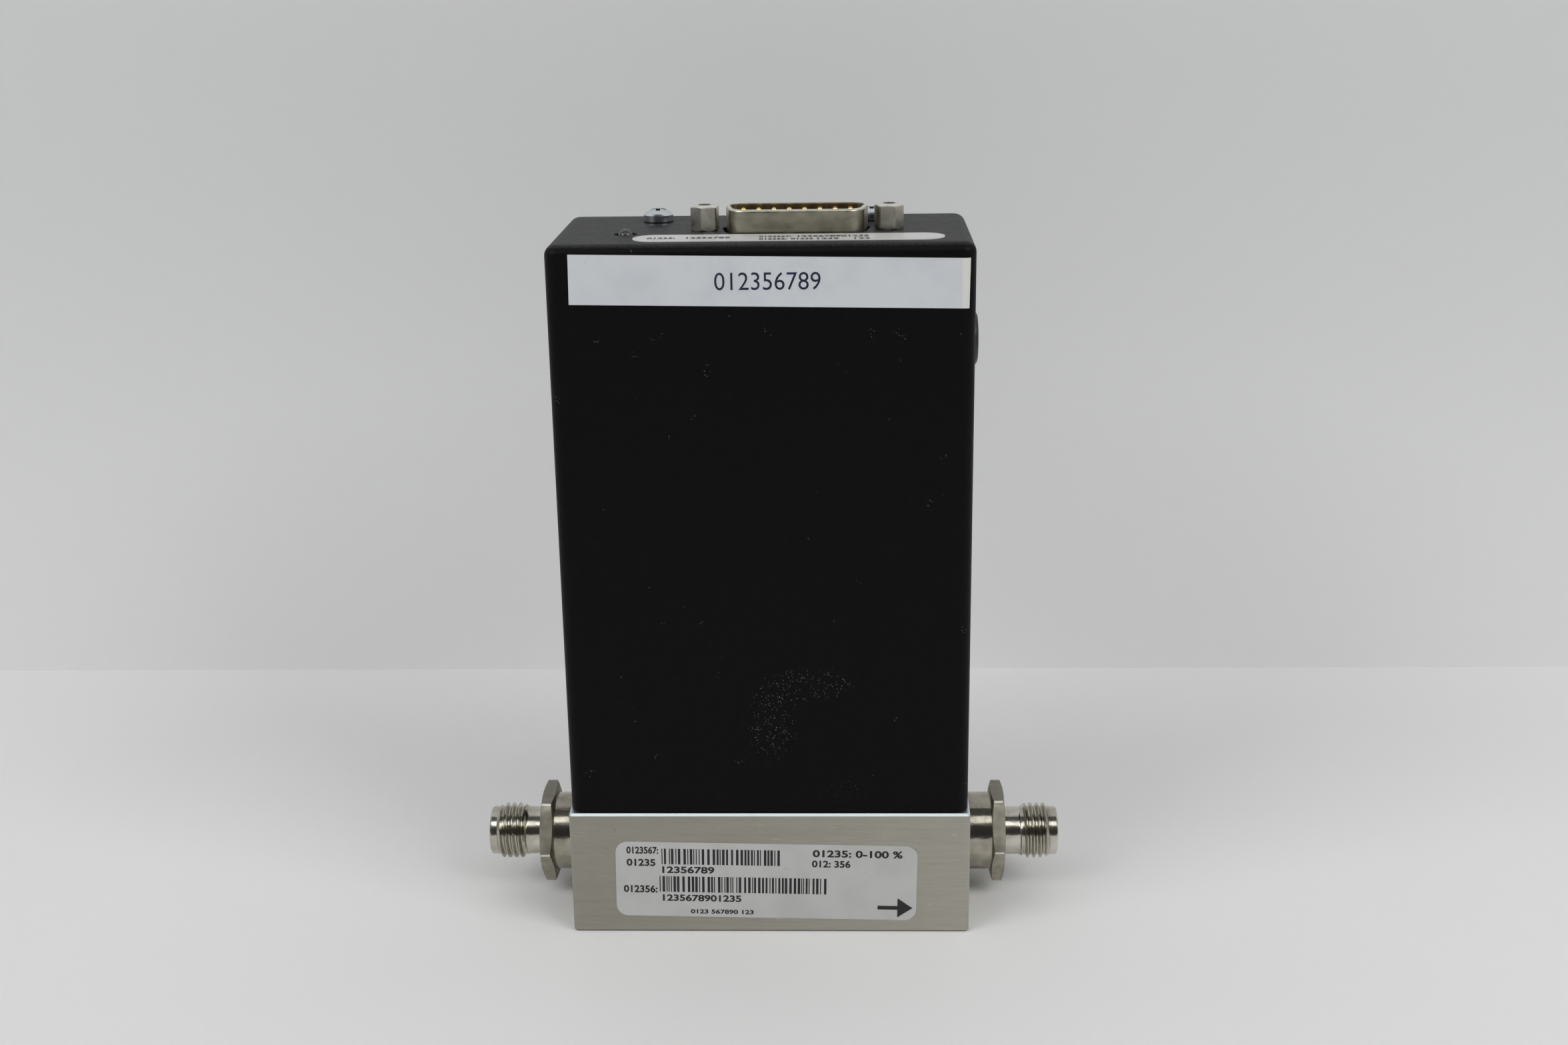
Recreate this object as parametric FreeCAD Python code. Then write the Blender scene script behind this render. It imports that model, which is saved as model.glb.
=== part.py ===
"""Thermal mass flow meter: a drilled steel flow block with two tube fittings, and a black
cover over the sensor, its frame and its boards, with a 15 pin connector on top.

Millimetres. X runs along the flow, from inlet to outlet, -Y is the labelled front and +Z
is up. The origin is the centre of the block's bottom face."""

import FreeCAD
import Part

import math
import os

from FreeCAD import Vector

# Fits shared by all the pieces
slip_fit = 0.05
screw_fit = 0.2
label_thickness = 0.12

# Flow block
block_length = 76.2
block_depth = 38.1
block_height = 24.9
block_edge = 0.4
flow_axis_height = 12.2
inlet_bore_diameter = 9.6
outlet_bore_diameter = 8.0
tap_spacing = 26.0
tap_diameter = 1.6
mount_hole_diameter = 3.5
mount_hole_depth = 8.0
mount_spacing_x = 50.8
mount_spacing_y = 25.4

# Tube fittings, measured outwards from the end faces of the block
spigot_diameter = 11.1
spigot_length = 9.0
spigot_end_gap = 0.5
boss_diameter = 15.24
boss_length = 5.2
hex_flats = 17.46
hex_corner_diameter = 19.86
hex_thickness = 2.5
hex_bevel_angle = 15
shank_diameter = 9.4
shank_length = 3.3
thread_diameter = 10.95
thread_length = 6.0
thread_edge = 0.6
nose_diameter = 9.5
nose_length = 1.4
nose_edge = 0.3
socket_diameter = 6.48
socket_depth = 10.0
ferrule_mouth_diameter = 8.1
ferrule_cone_depth = 3.8
fitting_bore_diameter = 4.8
inlet_hex_turn = -4.0
port_seal_section = 1.5
port_seal_squeezed = 1.3

# Laminar flow element, held against a step in the bore by a spring ring
element_length = 20.0
element_slots = 16
element_slot_width = 0.7
element_slot_depth = 1.6
clip_thickness = 0.9
clip_bite = 0.6
clip_band = 1.3
clip_gap_angle = 50.0

# Thermal sensor
sensor_length = 46.0
sensor_depth = 14.0
sensor_base_height = 5.0
sensor_tube_diameter = 0.9
sensor_tube_bore = 0.6
sensor_tube_rise = 11.0
sensor_tube_bend = 2.5
winding_diameter = 1.9
winding_length = 7.0
winding_gap = 2.0
tap_seal_section = 1.0
tap_seal_squeezed = 0.8
can_height = 20.0
can_cavity_length = 34.0
can_cavity_depth = 8.0
can_roof = 4.0
can_edge = 0.8
sensor_screw_diameter = 3.0
sensor_screw_bite = 6.0
sensor_screw_spacing_y = 7.4
screw_head_diameter = 5.5
screw_head_height = 3.0
screw_socket_flats = 2.5
screw_socket_depth = 1.5

# Cover, a drawn black can that hangs on the frame just clear of the block
cover_step_x = 0.4
cover_step_y = 0.5
cover_gap = 0.3
cover_height = 107.8
cover_wall = 1.5
cover_corner_radius = 2.3
cover_top_radius = 2.0

# Frame, one folded sheet between the block and the top of the cover
frame_sheet = 1.2
frame_bend = 1.0
frame_side_gap = 5.0
frame_back_gap = 0.5
frame_sensor_gap = 0.55
frame_screw_spacing = 50.0
frame_screw_length = 6.0
frame_connector_gap = 0.9
flange_nut_diameter = 5.6
flange_nut_height = 2.2

# Screws in the top of the cover
cover_screw_spacing = 39.8
cover_screw_y = 9.6
cover_screw_diameter = 2.84
cover_screw_length = 6.0
pan_head_diameter = 5.6
pan_head_height = 2.5
pan_head_rim = 1.35
cross_width = 0.8
cross_reach = 2.9
cross_depth = 1.2

# Main board, parallel to the front, and what it carries
board_thickness = 1.6
board_foot_gap = 4.5
board_side_gap = 1.0
board_top_gap = 1.5
standoff_length = 4.0
standoff_flats = 5.0
standoff_inset_x = 4.5
standoff_inset_low = 6.0
standoff_inset_high = 20.0
chip_length = 9.9
chip_width = 6.0
chip_height = 1.9
chip_spacing_x = 18.0
chip_spacing_z = 13.0
chip_rows_drop = 56.0
capacitor_diameter = 6.3
capacitor_height = 7.0
capacitor_spacing = 12.0
capacitor_drop = 20.0
ribbon_plug_length = 10.0
ribbon_plug_depth = 3.0
ribbon_plug_height = 5.0
ribbon_width = 7.0
ribbon_thickness = 0.6
ribbon_bend = 1.6
ribbon_y = -1.0
ribbon_rise = 9.0
ribbon_slot_gap = 0.3

# Zero trimmer, and the plug over its access hole in the outlet side of the cover
zero_drop = 21.0
trimmer_length = 9.5
trimmer_reach = 9.8
trimmer_height = 4.8
trimmer_screw_inset = 1.8
trimmer_screw_diameter = 2.2
trimmer_screw_length = 1.4
trimmer_slot_width = 0.5
trimmer_slot_depth = 0.6
plug_hole_diameter = 7.9
plug_head_diameter = 10.0
plug_head_height = 1.6
plug_head_edge = 0.9
plug_wall = 0.9
plug_grip = 1.5
plug_barb = 0.4

# 15 pin connector, its wide row towards the back
connector_x = 6.2
connector_y = -1.6
shell_width = 25.25
shell_depth = 8.36
shell_wall = 0.7
shell_slope = 10.0
shell_corner_radius = 2.4
shell_rim_height = 4.2
shell_rim_round = 0.45
flange_end_margin = 2.91
flange_depth = 12.55
flange_thickness = 0.8
flange_corner_radius = 1.2
rear_shell_height = 4.2
dimple_spacing = 3.6
dimple_count = 4
dimple_radius = 0.65
dimple_reach = 0.3
dimple_height = 2.8
insulator_rise = 0.4
insulator_tail = 0.5
pin_count = 8
pin_pitch = 2.77
pin_row_spacing = 2.84
pin_diameter = 1.0
pin_below_rim = 0.4
pin_tail_diameter = 0.6
pin_tail_length = 2.6
cutout_gap = 0.55
cutout_shift = -0.17
jack_spacing = 33.32
jack_flats = 4.76
jack_corner_diameter = 5.28
jack_height = 4.6
jack_foot_edge = 0.3
jack_top_edge = 0.38
jack_top_reach = 0.65
jack_thread_diameter = 2.84
jack_hole_diameter = 2.26
jack_hole_depth = 4.0
jack_nut_diameter = 4.8
jack_nut_height = 2.4
jack_overrun = 0.8
left_jack_turn = 22.0
right_jack_turn = -10.0

# Connector board and the header that joins it to the main board
connector_board_side_gap = 4.0
connector_board_front_gap = 3.0
link_count = 15
link_pitch = 2.54
link_pin_size = 0.64
link_body_depth = 2.5
link_body_height = 2.5
link_body_drop = 3.0
link_pin_overrun = 1.2
link_hole_diameter = 1.1

# Status light
led_x = -24.5
led_y = -5.7
led_diameter = 2.7
led_flange_diameter = 3.6
led_flange_height = 1.0
led_height = 5.3
led_rise = 0.95
led_hole_diameter = 4.15
led_lead_size = 0.45
led_lead_pitch = 1.27
led_lead_overrun = 1.2
led_cup_width = 0.8
led_spacer_diameter = 4.4
led_spacer_bore = 2.6

# Labels
tape_left_margin = 4.4
tape_drop = 1.5
tape_height = 8.8
tape_turn = 0.98
tape_wrap = 1.2
rating_length = 57.6
rating_height = 15.7
rating_x = -0.75
rating_z = 10.9
rating_turn = 1.0
rating_corner_radius = 2.3
top_label_length = 55.1
top_label_back_gap = 0.47
top_label_x = 4.9
top_label_margin = 3.45
top_label_corner_radius = 2.3

# Places worked out from the sizes above
X, Y, Z = Vector(1, 0, 0), Vector(0, 1, 0), Vector(0, 0, 1)
end_face = block_length / 2
cover_half_length = end_face - cover_step_x
cover_half_depth = block_depth / 2 - cover_step_y
cover_foot = block_height + cover_gap
cover_top = cover_foot + cover_height
inner_half_length = cover_half_length - cover_wall
inner_half_depth = cover_half_depth - cover_wall
under_cover = cover_top - cover_wall
port_depth = spigot_length + spigot_end_gap
port_seal_diameter = spigot_diameter + 2 * (port_seal_section + slip_fit)
sensor_top = block_height + sensor_base_height + can_height
sensor_screw_x = (sensor_length + can_cavity_length) / 4
frame_back = inner_half_depth - frame_back_gap
frame_front = sensor_depth / 2 + frame_sensor_gap
frame_half_length = inner_half_length - frame_side_gap
frame_flange_front = connector_y + flange_depth / 2 + frame_connector_gap
board_back = frame_back - frame_sheet - standoff_length
board_front = board_back - board_thickness
board_half_length = frame_half_length - board_side_gap
board_bottom = block_height + frame_sheet + board_foot_gap
flanges_bottom = under_cover - 2 * flange_thickness
connector_board_top = flanges_bottom - rear_shell_height - insulator_tail
connector_board_bottom = connector_board_top - board_thickness
board_top = connector_board_bottom - board_top_gap
zero_height = cover_top - zero_drop
zero_y = board_front - trimmer_reach + trimmer_screw_inset
led_base = cover_top + led_rise - led_height
link_y = board_front - link_body_depth / 2
ribbon_plug_bottom = sensor_top + ribbon_rise


# Shapes that more than one piece uses
def box(low, high):
    """A block between two opposite corners."""
    return Part.makeBox(high[0] - low[0], high[1] - low[1], high[2] - low[2], Vector(*low))


def rod(diameter, start, end):
    """A round bar from one point to another."""
    start, end = Vector(*start), Vector(*end)
    return Part.makeCylinder(diameter / 2, (end - start).Length, start, end - start)


def rounded_face(points, radii):
    """A flat face in the XY plane with each corner rounded by its own radius."""
    edges, last_end, first_start = [], None, None
    for i, point in enumerate(points):
        here = Vector(*point, 0)
        back = (Vector(*points[i - 1], 0) - here).normalize()
        ahead = (Vector(*points[(i + 1) % len(points)], 0) - here).normalize()
        half = back.getAngle(ahead) / 2
        start = here + back * (radii[i] / math.tan(half))
        end = here + ahead * (radii[i] / math.tan(half))
        middle = here + (back + ahead).normalize() * (radii[i] / math.sin(half) - radii[i])
        if last_end is None:
            first_start = start
        else:
            edges.append(Part.LineSegment(last_end, start).toShape())
        if radii[i] > 0:
            edges.append(Part.Arc(start, middle, end).toShape())
        last_end = end
    edges.append(Part.LineSegment(last_end, first_start).toShape())
    return Part.Face(Part.Wire(edges))


def rounded_plate(half_x, half_y, radius, low, high):
    """A rounded rectangle about the Z axis, from one height to another."""
    corners = [(-half_x, -half_y), (half_x, -half_y), (half_x, half_y), (-half_x, half_y)]
    return raised(rounded_face(corners, [radius] * len(corners)), low, high)


def raised(face, low, high):
    """A face drawn in XY, made solid between two heights."""
    face = face.copy()
    face.translate(Z * low)
    return face.extrude(Z * (high - low))


def across(face, low, high):
    """A face drawn with Y and Z as its two directions, made solid between two X places."""
    solid = raised(face, low, high)
    solid.rotate(Vector(), Vector(1, 1, 1), 120)
    return solid


def hexagon(flats, turn=0.0):
    """A hexagonal face about the origin, its first corner turned from the X axis."""
    radius = flats / math.sqrt(3)
    angles = [math.radians(turn + 60 * i) for i in range(6)]
    return rounded_face([(radius * math.cos(a), radius * math.sin(a)) for a in angles], [0] * 6)


def turned(profile, centre, axis):
    """A solid of revolution. The profile lists (place along the axis, radius) pairs."""
    points = [Vector(radius, 0, along) for along, radius in profile]
    face = Part.Face(Part.makePolygon(points + [points[0]]))
    solid = face.revolve(Vector(), Z, 360)
    solid.Placement = FreeCAD.Placement(centre, FreeCAD.Rotation(Z, axis)).multiply(solid.Placement)
    return solid


def moved(shape, offset):
    """A copy of a shape, shifted."""
    shape = shape.copy()
    shape.translate(Vector(*offset))
    return shape


def fused(shapes):
    """One clean solid out of several that touch."""
    return shapes[0].multiFuse(shapes[1:]).removeSplitter()


def squeezed_ring(inner_radius, section, squeezed, centre, axis):
    """An O-ring as it lies flattened in its groove."""
    soft = 0.35 * squeezed
    profile = [
        (inner_radius, 0),
        (inner_radius + section, 0),
        (inner_radius + section, squeezed),
        (inner_radius, squeezed),
    ]
    ring = rounded_face(profile, [soft] * 4)
    ring.rotate(Vector(), X, 90)
    ring = ring.revolve(Vector(), Z, 360)
    ring.Placement = FreeCAD.Placement(centre, FreeCAD.Rotation(Z, axis)).multiply(ring.Placement)
    return ring


def flow_point(x):
    """A point on the flow axis."""
    return Vector(x, 0, flow_axis_height)


# Flow path
def flow_block():
    """Bar of stainless steel, bored along X, with a port at each end and two sensor taps."""
    block = box(
        (-end_face, -block_depth / 2, 0),
        (end_face, block_depth / 2, block_height),
    )
    block = block.makeChamfer(block_edge, block.Edges)
    step = element_length / 2
    inner_end = end_face - port_depth
    cuts = [
        rod(inlet_bore_diameter, flow_point(-inner_end - 1), flow_point(step)),
        rod(outlet_bore_diameter, flow_point(step - 1), flow_point(inner_end + 1)),
        rod(
            inlet_bore_diameter + 2 * clip_bite,
            flow_point(-step - clip_thickness - slip_fit),
            flow_point(-step + slip_fit),
        ),
    ]
    for side in (-1, 1):
        port = spigot_diameter + 2 * slip_fit
        cuts.append(rod(port, flow_point(side * inner_end), flow_point(side * (end_face + 1))))
        groove = flow_point(side * (end_face - port_seal_squeezed))
        cuts.append(rod(port_seal_diameter, groove, flow_point(side * (end_face + 1))))
        tap = side * tap_spacing / 2
        cuts.append(rod(tap_diameter, flow_point(tap), (tap, 0, block_height + 1)))
        for y in (-mount_spacing_y / 2, mount_spacing_y / 2):
            x = side * mount_spacing_x / 2
            cuts.append(rod(mount_hole_diameter, (x, y, -1), (x, y, mount_hole_depth)))
        foot_screw = frame_screw_place(side)
        depth = frame_screw_length + slip_fit
        cuts.append(screw_hole(foot_screw, sensor_screw_diameter, block_height, depth))
    for place in sensor_screw_places():
        depth = sensor_screw_bite + slip_fit
        cuts.append(screw_hole(place, sensor_screw_diameter, block_height, depth))
    return block.cut(cuts)


def screw_hole(place, diameter, top, depth):
    """A tapped hole, drawn at the screw's own diameter and a slip fit."""
    x, y = place
    return rod(diameter + 2 * slip_fit, (x, y, top - depth), (x, y, top + 1))


def fitting(side, hex_turn):
    """Tube fitting turned from hexagon bar: spigot, boss, hexagon, thread and nose."""
    hex_start = boss_length
    hex_end = hex_start + hex_thickness
    thread_start = hex_end + shank_length
    thread_end = thread_start + thread_length
    tip = thread_end + nose_length
    outer = [
        (-spigot_length, 0),
        (-spigot_length, spigot_diameter / 2),
        (0, spigot_diameter / 2),
        (0, boss_diameter / 2),
        (hex_start, boss_diameter / 2),
        (hex_start, shank_diameter / 2),
        (thread_start, shank_diameter / 2),
        (thread_start + thread_edge, thread_diameter / 2),
        (thread_end - thread_edge, thread_diameter / 2),
        (thread_end, nose_diameter / 2),
        (tip - nose_edge, nose_diameter / 2),
        (tip, nose_diameter / 2 - nose_edge),
        (tip, 0),
    ]
    bore = [
        (-spigot_length - 1, 0),
        (-spigot_length - 1, fitting_bore_diameter / 2),
        (tip - socket_depth, fitting_bore_diameter / 2),
        (tip - socket_depth, socket_diameter / 2),
        (tip - ferrule_cone_depth, socket_diameter / 2),
        (tip, ferrule_mouth_diameter / 2),
        (tip + 1, ferrule_mouth_diameter / 2),
        (tip + 1, 0),
    ]
    corner = hex_corner_diameter / 2
    bevel = (corner - hex_flats / 2) * math.tan(math.radians(hex_bevel_angle))
    hex_limit = [
        (hex_start, 0),
        (hex_start, hex_flats / 2),
        (hex_start + bevel, corner),
        (hex_end - bevel, corner),
        (hex_end, hex_flats / 2),
        (hex_end, 0),
    ]
    centre, axis = flow_point(side * end_face), X * side
    # the flats at top and bottom lie level when the turn is nought
    hexagon_bar = across(hexagon(hex_flats, hex_turn), hex_start, hex_end)
    if side < 0:
        hexagon_bar.rotate(Vector(), Z, 180)
    hexagon_bar.translate(centre)
    nut = hexagon_bar.common(turned(hex_limit, centre, axis))
    return fused([turned(outer, centre, axis), nut]).cut(turned(bore, centre, axis))


def port_seal(side):
    """O-ring round the spigot, flattened between the block and the fitting's boss."""
    centre = flow_point(side * end_face)
    inner = spigot_diameter / 2 + slip_fit
    return squeezed_ring(inner, port_seal_section, port_seal_squeezed, centre, X * -side)


def flow_element():
    """Slotted cylinder that makes the main flow laminar, so that it splits in proportion."""
    radius = inlet_bore_diameter / 2 - slip_fit
    start, end = flow_point(-element_length / 2), flow_point(element_length / 2)
    core = rod(2 * radius, start, end)
    slot = box(
        (-element_length / 2 - 1, -element_slot_width / 2, radius - element_slot_depth),
        (element_length / 2 + 1, element_slot_width / 2, radius + 1),
    )
    slots = []
    for i in range(element_slots):
        cut = slot.copy()
        cut.rotate(Vector(), X, 360 * i / element_slots)
        slots.append(moved(cut, (0, 0, flow_axis_height)))
    return core.cut(slots)


def element_clip():
    """Spring ring in the bore's groove, which keeps the flow element against its step."""
    outer = inlet_bore_diameter / 2 + clip_bite - slip_fit
    start = -element_length / 2 - clip_thickness
    ring = rod(2 * outer, flow_point(start), flow_point(start + clip_thickness))
    hole = rod(
        2 * (outer - clip_band), flow_point(start - 1), flow_point(start + clip_thickness + 1)
    )
    reach = outer + 1
    side = reach * math.tan(math.radians(clip_gap_angle / 2))
    gap = across(rounded_face([(0, 0), (side, -reach), (-side, -reach)], [0] * 3), start - 1, 0)
    return ring.cut([hole, moved(gap, (0, 0, flow_axis_height))])


# Thermal sensor
def sensor_screw_places():
    """The four screws through the sensor into the block, as (x, y) places."""
    y = sensor_screw_spacing_y / 2
    return [(sx * sensor_screw_x, sy * y) for sx in (-1, 1) for sy in (-1, 1)]


def tap_places():
    """The two holes that lead gas between the bore and the sensor tube."""
    return [-tap_spacing / 2, tap_spacing / 2]


def sensor_base():
    """Steel foot of the sensor, with the sensor tube's two ends brazed in."""
    low, high = block_height, block_height + sensor_base_height
    base = rounded_plate(sensor_length / 2, sensor_depth / 2, can_edge, low, high)
    cuts = []
    for x in tap_places():
        seat = low + tap_seal_squeezed
        seal_diameter = tap_diameter + 2 * (tap_seal_section + 2 * slip_fit)
        cuts.append(rod(sensor_tube_diameter + 2 * slip_fit, (x, 0, low - 1), (x, 0, high + 1)))
        cuts.append(rod(seal_diameter, (x, 0, low - 1), (x, 0, seat)))
    for x, y in sensor_screw_places():
        hole = sensor_screw_diameter + 2 * screw_fit
        cuts.append(rod(hole, (x, y, low - 1), (x, y, high + 1)))
    return base.cut(cuts)


def tap_seals():
    """Two small O-rings between the sensor's foot and the block."""
    inner = tap_diameter / 2 + slip_fit
    return [
        squeezed_ring(inner, tap_seal_section, tap_seal_squeezed, Vector(x, 0, block_height), Z)
        for x in tap_places()
    ]


def sensor_tube():
    """Fine capillary bent into a U, through which a small share of the gas flows."""
    half = tap_spacing / 2
    low = block_height + tap_seal_squeezed
    high = block_height + sensor_base_height + sensor_tube_rise
    bend = sensor_tube_bend
    slant = bend * (1 - math.sqrt(0.5))
    ends = [Vector(-half, 0, low), Vector(-half, 0, high - bend), Vector(-half + bend, 0, high)]
    ends += [Vector(half - bend, 0, high), Vector(half, 0, high - bend), Vector(half, 0, low)]
    path = Part.Wire(
        [
            Part.LineSegment(ends[0], ends[1]).toShape(),
            Part.Arc(ends[1], Vector(-half + slant, 0, high - slant), ends[2]).toShape(),
            Part.LineSegment(ends[2], ends[3]).toShape(),
            Part.Arc(ends[3], Vector(half - slant, 0, high - slant), ends[4]).toShape(),
            Part.LineSegment(ends[4], ends[5]).toShape(),
        ]
    )

    def swept(diameter):
        ring = Part.Wire([Part.makeCircle(diameter / 2, ends[0], Z)])
        return path.makePipeShell([ring], True, False)

    return swept(sensor_tube_diameter).cut(swept(sensor_tube_bore))


def sensor_windings():
    """Two fine heating coils on the level run of the tube, each drawn as one sleeve."""
    z = block_height + sensor_base_height + sensor_tube_rise
    sleeves = []
    for side in (-1, 1):
        start = side * winding_gap / 2
        end = side * (winding_gap / 2 + winding_length)
        sleeve = rod(winding_diameter, (start, 0, z), (end, 0, z))
        hole = rod(sensor_tube_diameter, (start - side, 0, z), (end + side, 0, z))
        sleeves.append(sleeve.cut(hole))
    return sleeves


def sensor_can():
    """Aluminium can over the tube, with a slot in its roof for the ribbon."""
    low = block_height + sensor_base_height
    can = rounded_plate(sensor_length / 2, sensor_depth / 2, can_edge, low, sensor_top)
    cavity_top = sensor_top - can_roof
    half = ribbon_width / 2 + ribbon_slot_gap
    reach = ribbon_thickness / 2 + ribbon_slot_gap
    cuts = [
        box(
            (-can_cavity_length / 2, -can_cavity_depth / 2, low - 1),
            (can_cavity_length / 2, can_cavity_depth / 2, cavity_top),
        ),
        box((-half, ribbon_y - reach, low), (half, ribbon_y + reach, sensor_top + 1)),
    ]
    for x, y in sensor_screw_places():
        hole = sensor_screw_diameter + 2 * screw_fit
        cuts.append(rod(hole, (x, y, low - 1), (x, y, sensor_top + 1)))
    return can.cut(cuts)


def cap_screw(place, head_seat, length):
    """Socket head screw, its head on the given height and its shank below."""
    x, y = place
    top = head_seat + screw_head_height
    shank = rod(sensor_screw_diameter, (x, y, head_seat - length), (x, y, head_seat))
    head = rod(screw_head_diameter, (x, y, head_seat), (x, y, top))
    socket = raised(hexagon(screw_socket_flats), top - screw_socket_depth, top + 1)
    return fused([shank, head]).cut(moved(socket, (x, y, 0)))


def sensor_screws():
    """Four long screws that clamp the can and the foot to the block."""
    length = sensor_top - block_height + sensor_screw_bite
    return [cap_screw(place, sensor_top, length) for place in sensor_screw_places()]


# Frame
def frame_screw_place(side):
    """Screw in the frame's foot, as an (x, y) place."""
    y = (frame_front + frame_back - frame_sheet - frame_bend) / 2
    return (side * frame_screw_spacing / 2, y)


def frame():
    """Folded sheet: a foot on the block, a back panel, and a flange under the cover."""
    inside, outside = frame_bend, frame_bend + frame_sheet
    back = frame_back
    low, high = block_height, under_cover
    outline = [
        (frame_front, low),
        (back, low),
        (back, high),
        (frame_flange_front, high),
        (frame_flange_front, high - frame_sheet),
        (back - frame_sheet, high - frame_sheet),
        (back - frame_sheet, low + frame_sheet),
        (frame_front, low + frame_sheet),
    ]
    radii = [0, outside, outside, 0, 0, inside, inside, 0]
    sheet = across(rounded_face(outline, radii), -frame_half_length, frame_half_length)
    cuts = []
    for side in (-1, 1):
        x, y = frame_screw_place(side)
        hole = sensor_screw_diameter + 2 * screw_fit
        cuts.append(rod(hole, (x, y, low - 1), (x, y, low + frame_sheet + 1)))
        x, y = cover_screw_place(side)
        hole = cover_screw_diameter + 2 * slip_fit
        cuts.append(rod(hole, (x, y, high - frame_sheet - 1), (x, y, high + 1)))
    return sheet.cut(cuts)


def frame_screws():
    """Two screws that hold the frame's foot to the block."""
    seat = block_height + frame_sheet
    length = frame_screw_length + frame_sheet
    return [cap_screw(frame_screw_place(side), seat, length) for side in (-1, 1)]


def flange_nuts():
    """Two round nuts pressed under the frame's flange for the cover's screws."""
    top = under_cover - frame_sheet
    nuts = []
    for side in (-1, 1):
        x, y = cover_screw_place(side)
        nut = rod(flange_nut_diameter, (x, y, top - flange_nut_height), (x, y, top))
        hole = cover_screw_diameter + 2 * slip_fit
        nuts.append(nut.cut(rod(hole, (x, y, top - flange_nut_height - 1), (x, y, top + 1))))
    return nuts


# Boards
def standoff_places():
    """The four fixings of the main board, as (x, z) places."""
    x = board_half_length - standoff_inset_x
    heights = (board_bottom + standoff_inset_low, board_top - standoff_inset_high)
    return [(side * x, z) for side in (-1, 1) for z in heights]


def main_board():
    """Upright circuit board in front of the frame's back panel."""
    board = box(
        (-board_half_length, board_front, board_bottom),
        (board_half_length, board_back, board_top),
    )
    hole = sensor_screw_diameter + 2 * screw_fit
    cuts = []
    for x, z in standoff_places():
        cuts.append(rod(hole, (x, board_front - 1, z), (x, board_back + 1, z)))
    return board.cut(cuts)


def standoffs():
    """Four hexagonal spacers riveted to the back panel."""
    spacers = []
    for x, z in standoff_places():
        spacer = raised(hexagon(standoff_flats), 0, standoff_length)
        hole = sensor_screw_diameter + 2 * slip_fit
        spacer = spacer.cut(rod(hole, (0, 0, -1), (0, 0, standoff_length + 1)))
        spacer.rotate(Vector(), X, -90)
        spacers.append(moved(spacer, (x, board_back, z)))
    return spacers


def board_screws():
    """Four socket head screws through the main board into the spacers."""
    length = board_thickness + standoff_length / 2
    screws = []
    for x, z in standoff_places():
        screw = cap_screw((0, 0), 0, length)
        screw.rotate(Vector(), X, 90)
        screws.append(moved(screw, (x, board_front, z)))
    return screws


def chips():
    """Six amplifier chips in two columns on the main board."""
    made = []
    for side in (-1, 1):
        for row in range(3):
            x = side * chip_spacing_x / 2
            z = board_top - chip_rows_drop + row * chip_spacing_z
            low = (x - chip_width / 2, board_front - chip_height, z - chip_length / 2)
            high = (x + chip_width / 2, board_front, z + chip_length / 2)
            made.append(box(low, high))
    return made


def capacitors():
    """Three round electrolytic capacitors."""
    z = board_top - capacitor_drop
    made = []
    for i in (-1, 0, 1):
        x = i * capacitor_spacing - capacitor_spacing / 2
        start, end = (x, board_front, z), (x, board_front - capacitor_height, z)
        made.append(rod(capacitor_diameter, start, end))
    return made


def zero_trimmer():
    """Trimmer with a slotted screw that faces the access hole in the cover."""
    low = (board_half_length - trimmer_length, board_front - trimmer_reach)
    body = box(
        (*low, zero_height - trimmer_height / 2),
        (board_half_length, board_front, zero_height + trimmer_height / 2),
    )
    tip = board_half_length + trimmer_screw_length
    root = (board_half_length - 1, zero_y, zero_height)
    screw = rod(trimmer_screw_diameter, root, (tip, zero_y, zero_height))
    half = trimmer_slot_width / 2
    slot = box(
        (tip - trimmer_slot_depth, zero_y - trimmer_screw_diameter, zero_height - half),
        (tip + 1, zero_y + trimmer_screw_diameter, zero_height + half),
    )
    return fused([body, screw]).cut(slot)


def ribbon_plug():
    """Plug on the main board where the sensor's ribbon ends."""
    low = (-ribbon_plug_length / 2, board_front - ribbon_plug_depth, ribbon_plug_bottom)
    high = (ribbon_plug_length / 2, board_front, ribbon_plug_bottom + ribbon_plug_height)
    return box(low, high)


def sensor_ribbon():
    """Flat cable from the windings, up through the can's roof and back to its plug."""
    half = ribbon_thickness / 2
    plug_y = board_front - ribbon_plug_depth / 2
    start = block_height + sensor_base_height + sensor_tube_rise + winding_diameter / 2 + slip_fit
    turn = (sensor_top + ribbon_plug_bottom) / 2
    inside, outside = ribbon_bend - half, ribbon_bend + half
    outline = [
        (ribbon_y - half, start),
        (ribbon_y + half, start),
        (ribbon_y + half, turn - half),
        (plug_y + half, turn - half),
        (plug_y + half, ribbon_plug_bottom),
        (plug_y - half, ribbon_plug_bottom),
        (plug_y - half, turn + half),
        (ribbon_y - half, turn + half),
    ]
    radii = [0, 0, inside, outside, 0, 0, inside, outside]
    return across(rounded_face(outline, radii), -ribbon_width / 2, ribbon_width / 2)


def connector_board():
    """Level circuit board under the connector, in front of the main board."""
    half = inner_half_length - connector_board_side_gap
    front = -inner_half_depth + connector_board_front_gap
    board = box(
        (-half, front, connector_board_bottom),
        (half, board_front - slip_fit, connector_board_top),
    )
    low, high = connector_board_bottom - 1, connector_board_top + 1
    tail = pin_tail_diameter + 4 * slip_fit
    cuts = [rod(tail, (x, y, low), (x, y, high)) for x, y in pin_places()]
    cuts += [rod(link_hole_diameter, (x, link_y, low), (x, link_y, high)) for x in link_places()]
    for x in led_lead_places():
        cuts.append(rod(led_lead_size * 2, (x, led_y, low), (x, led_y, high)))
    return board.cut(cuts)


def link_places():
    """X places of the header pins that join the two boards."""
    return [(i - (link_count - 1) / 2) * link_pitch for i in range(link_count)]


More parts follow.
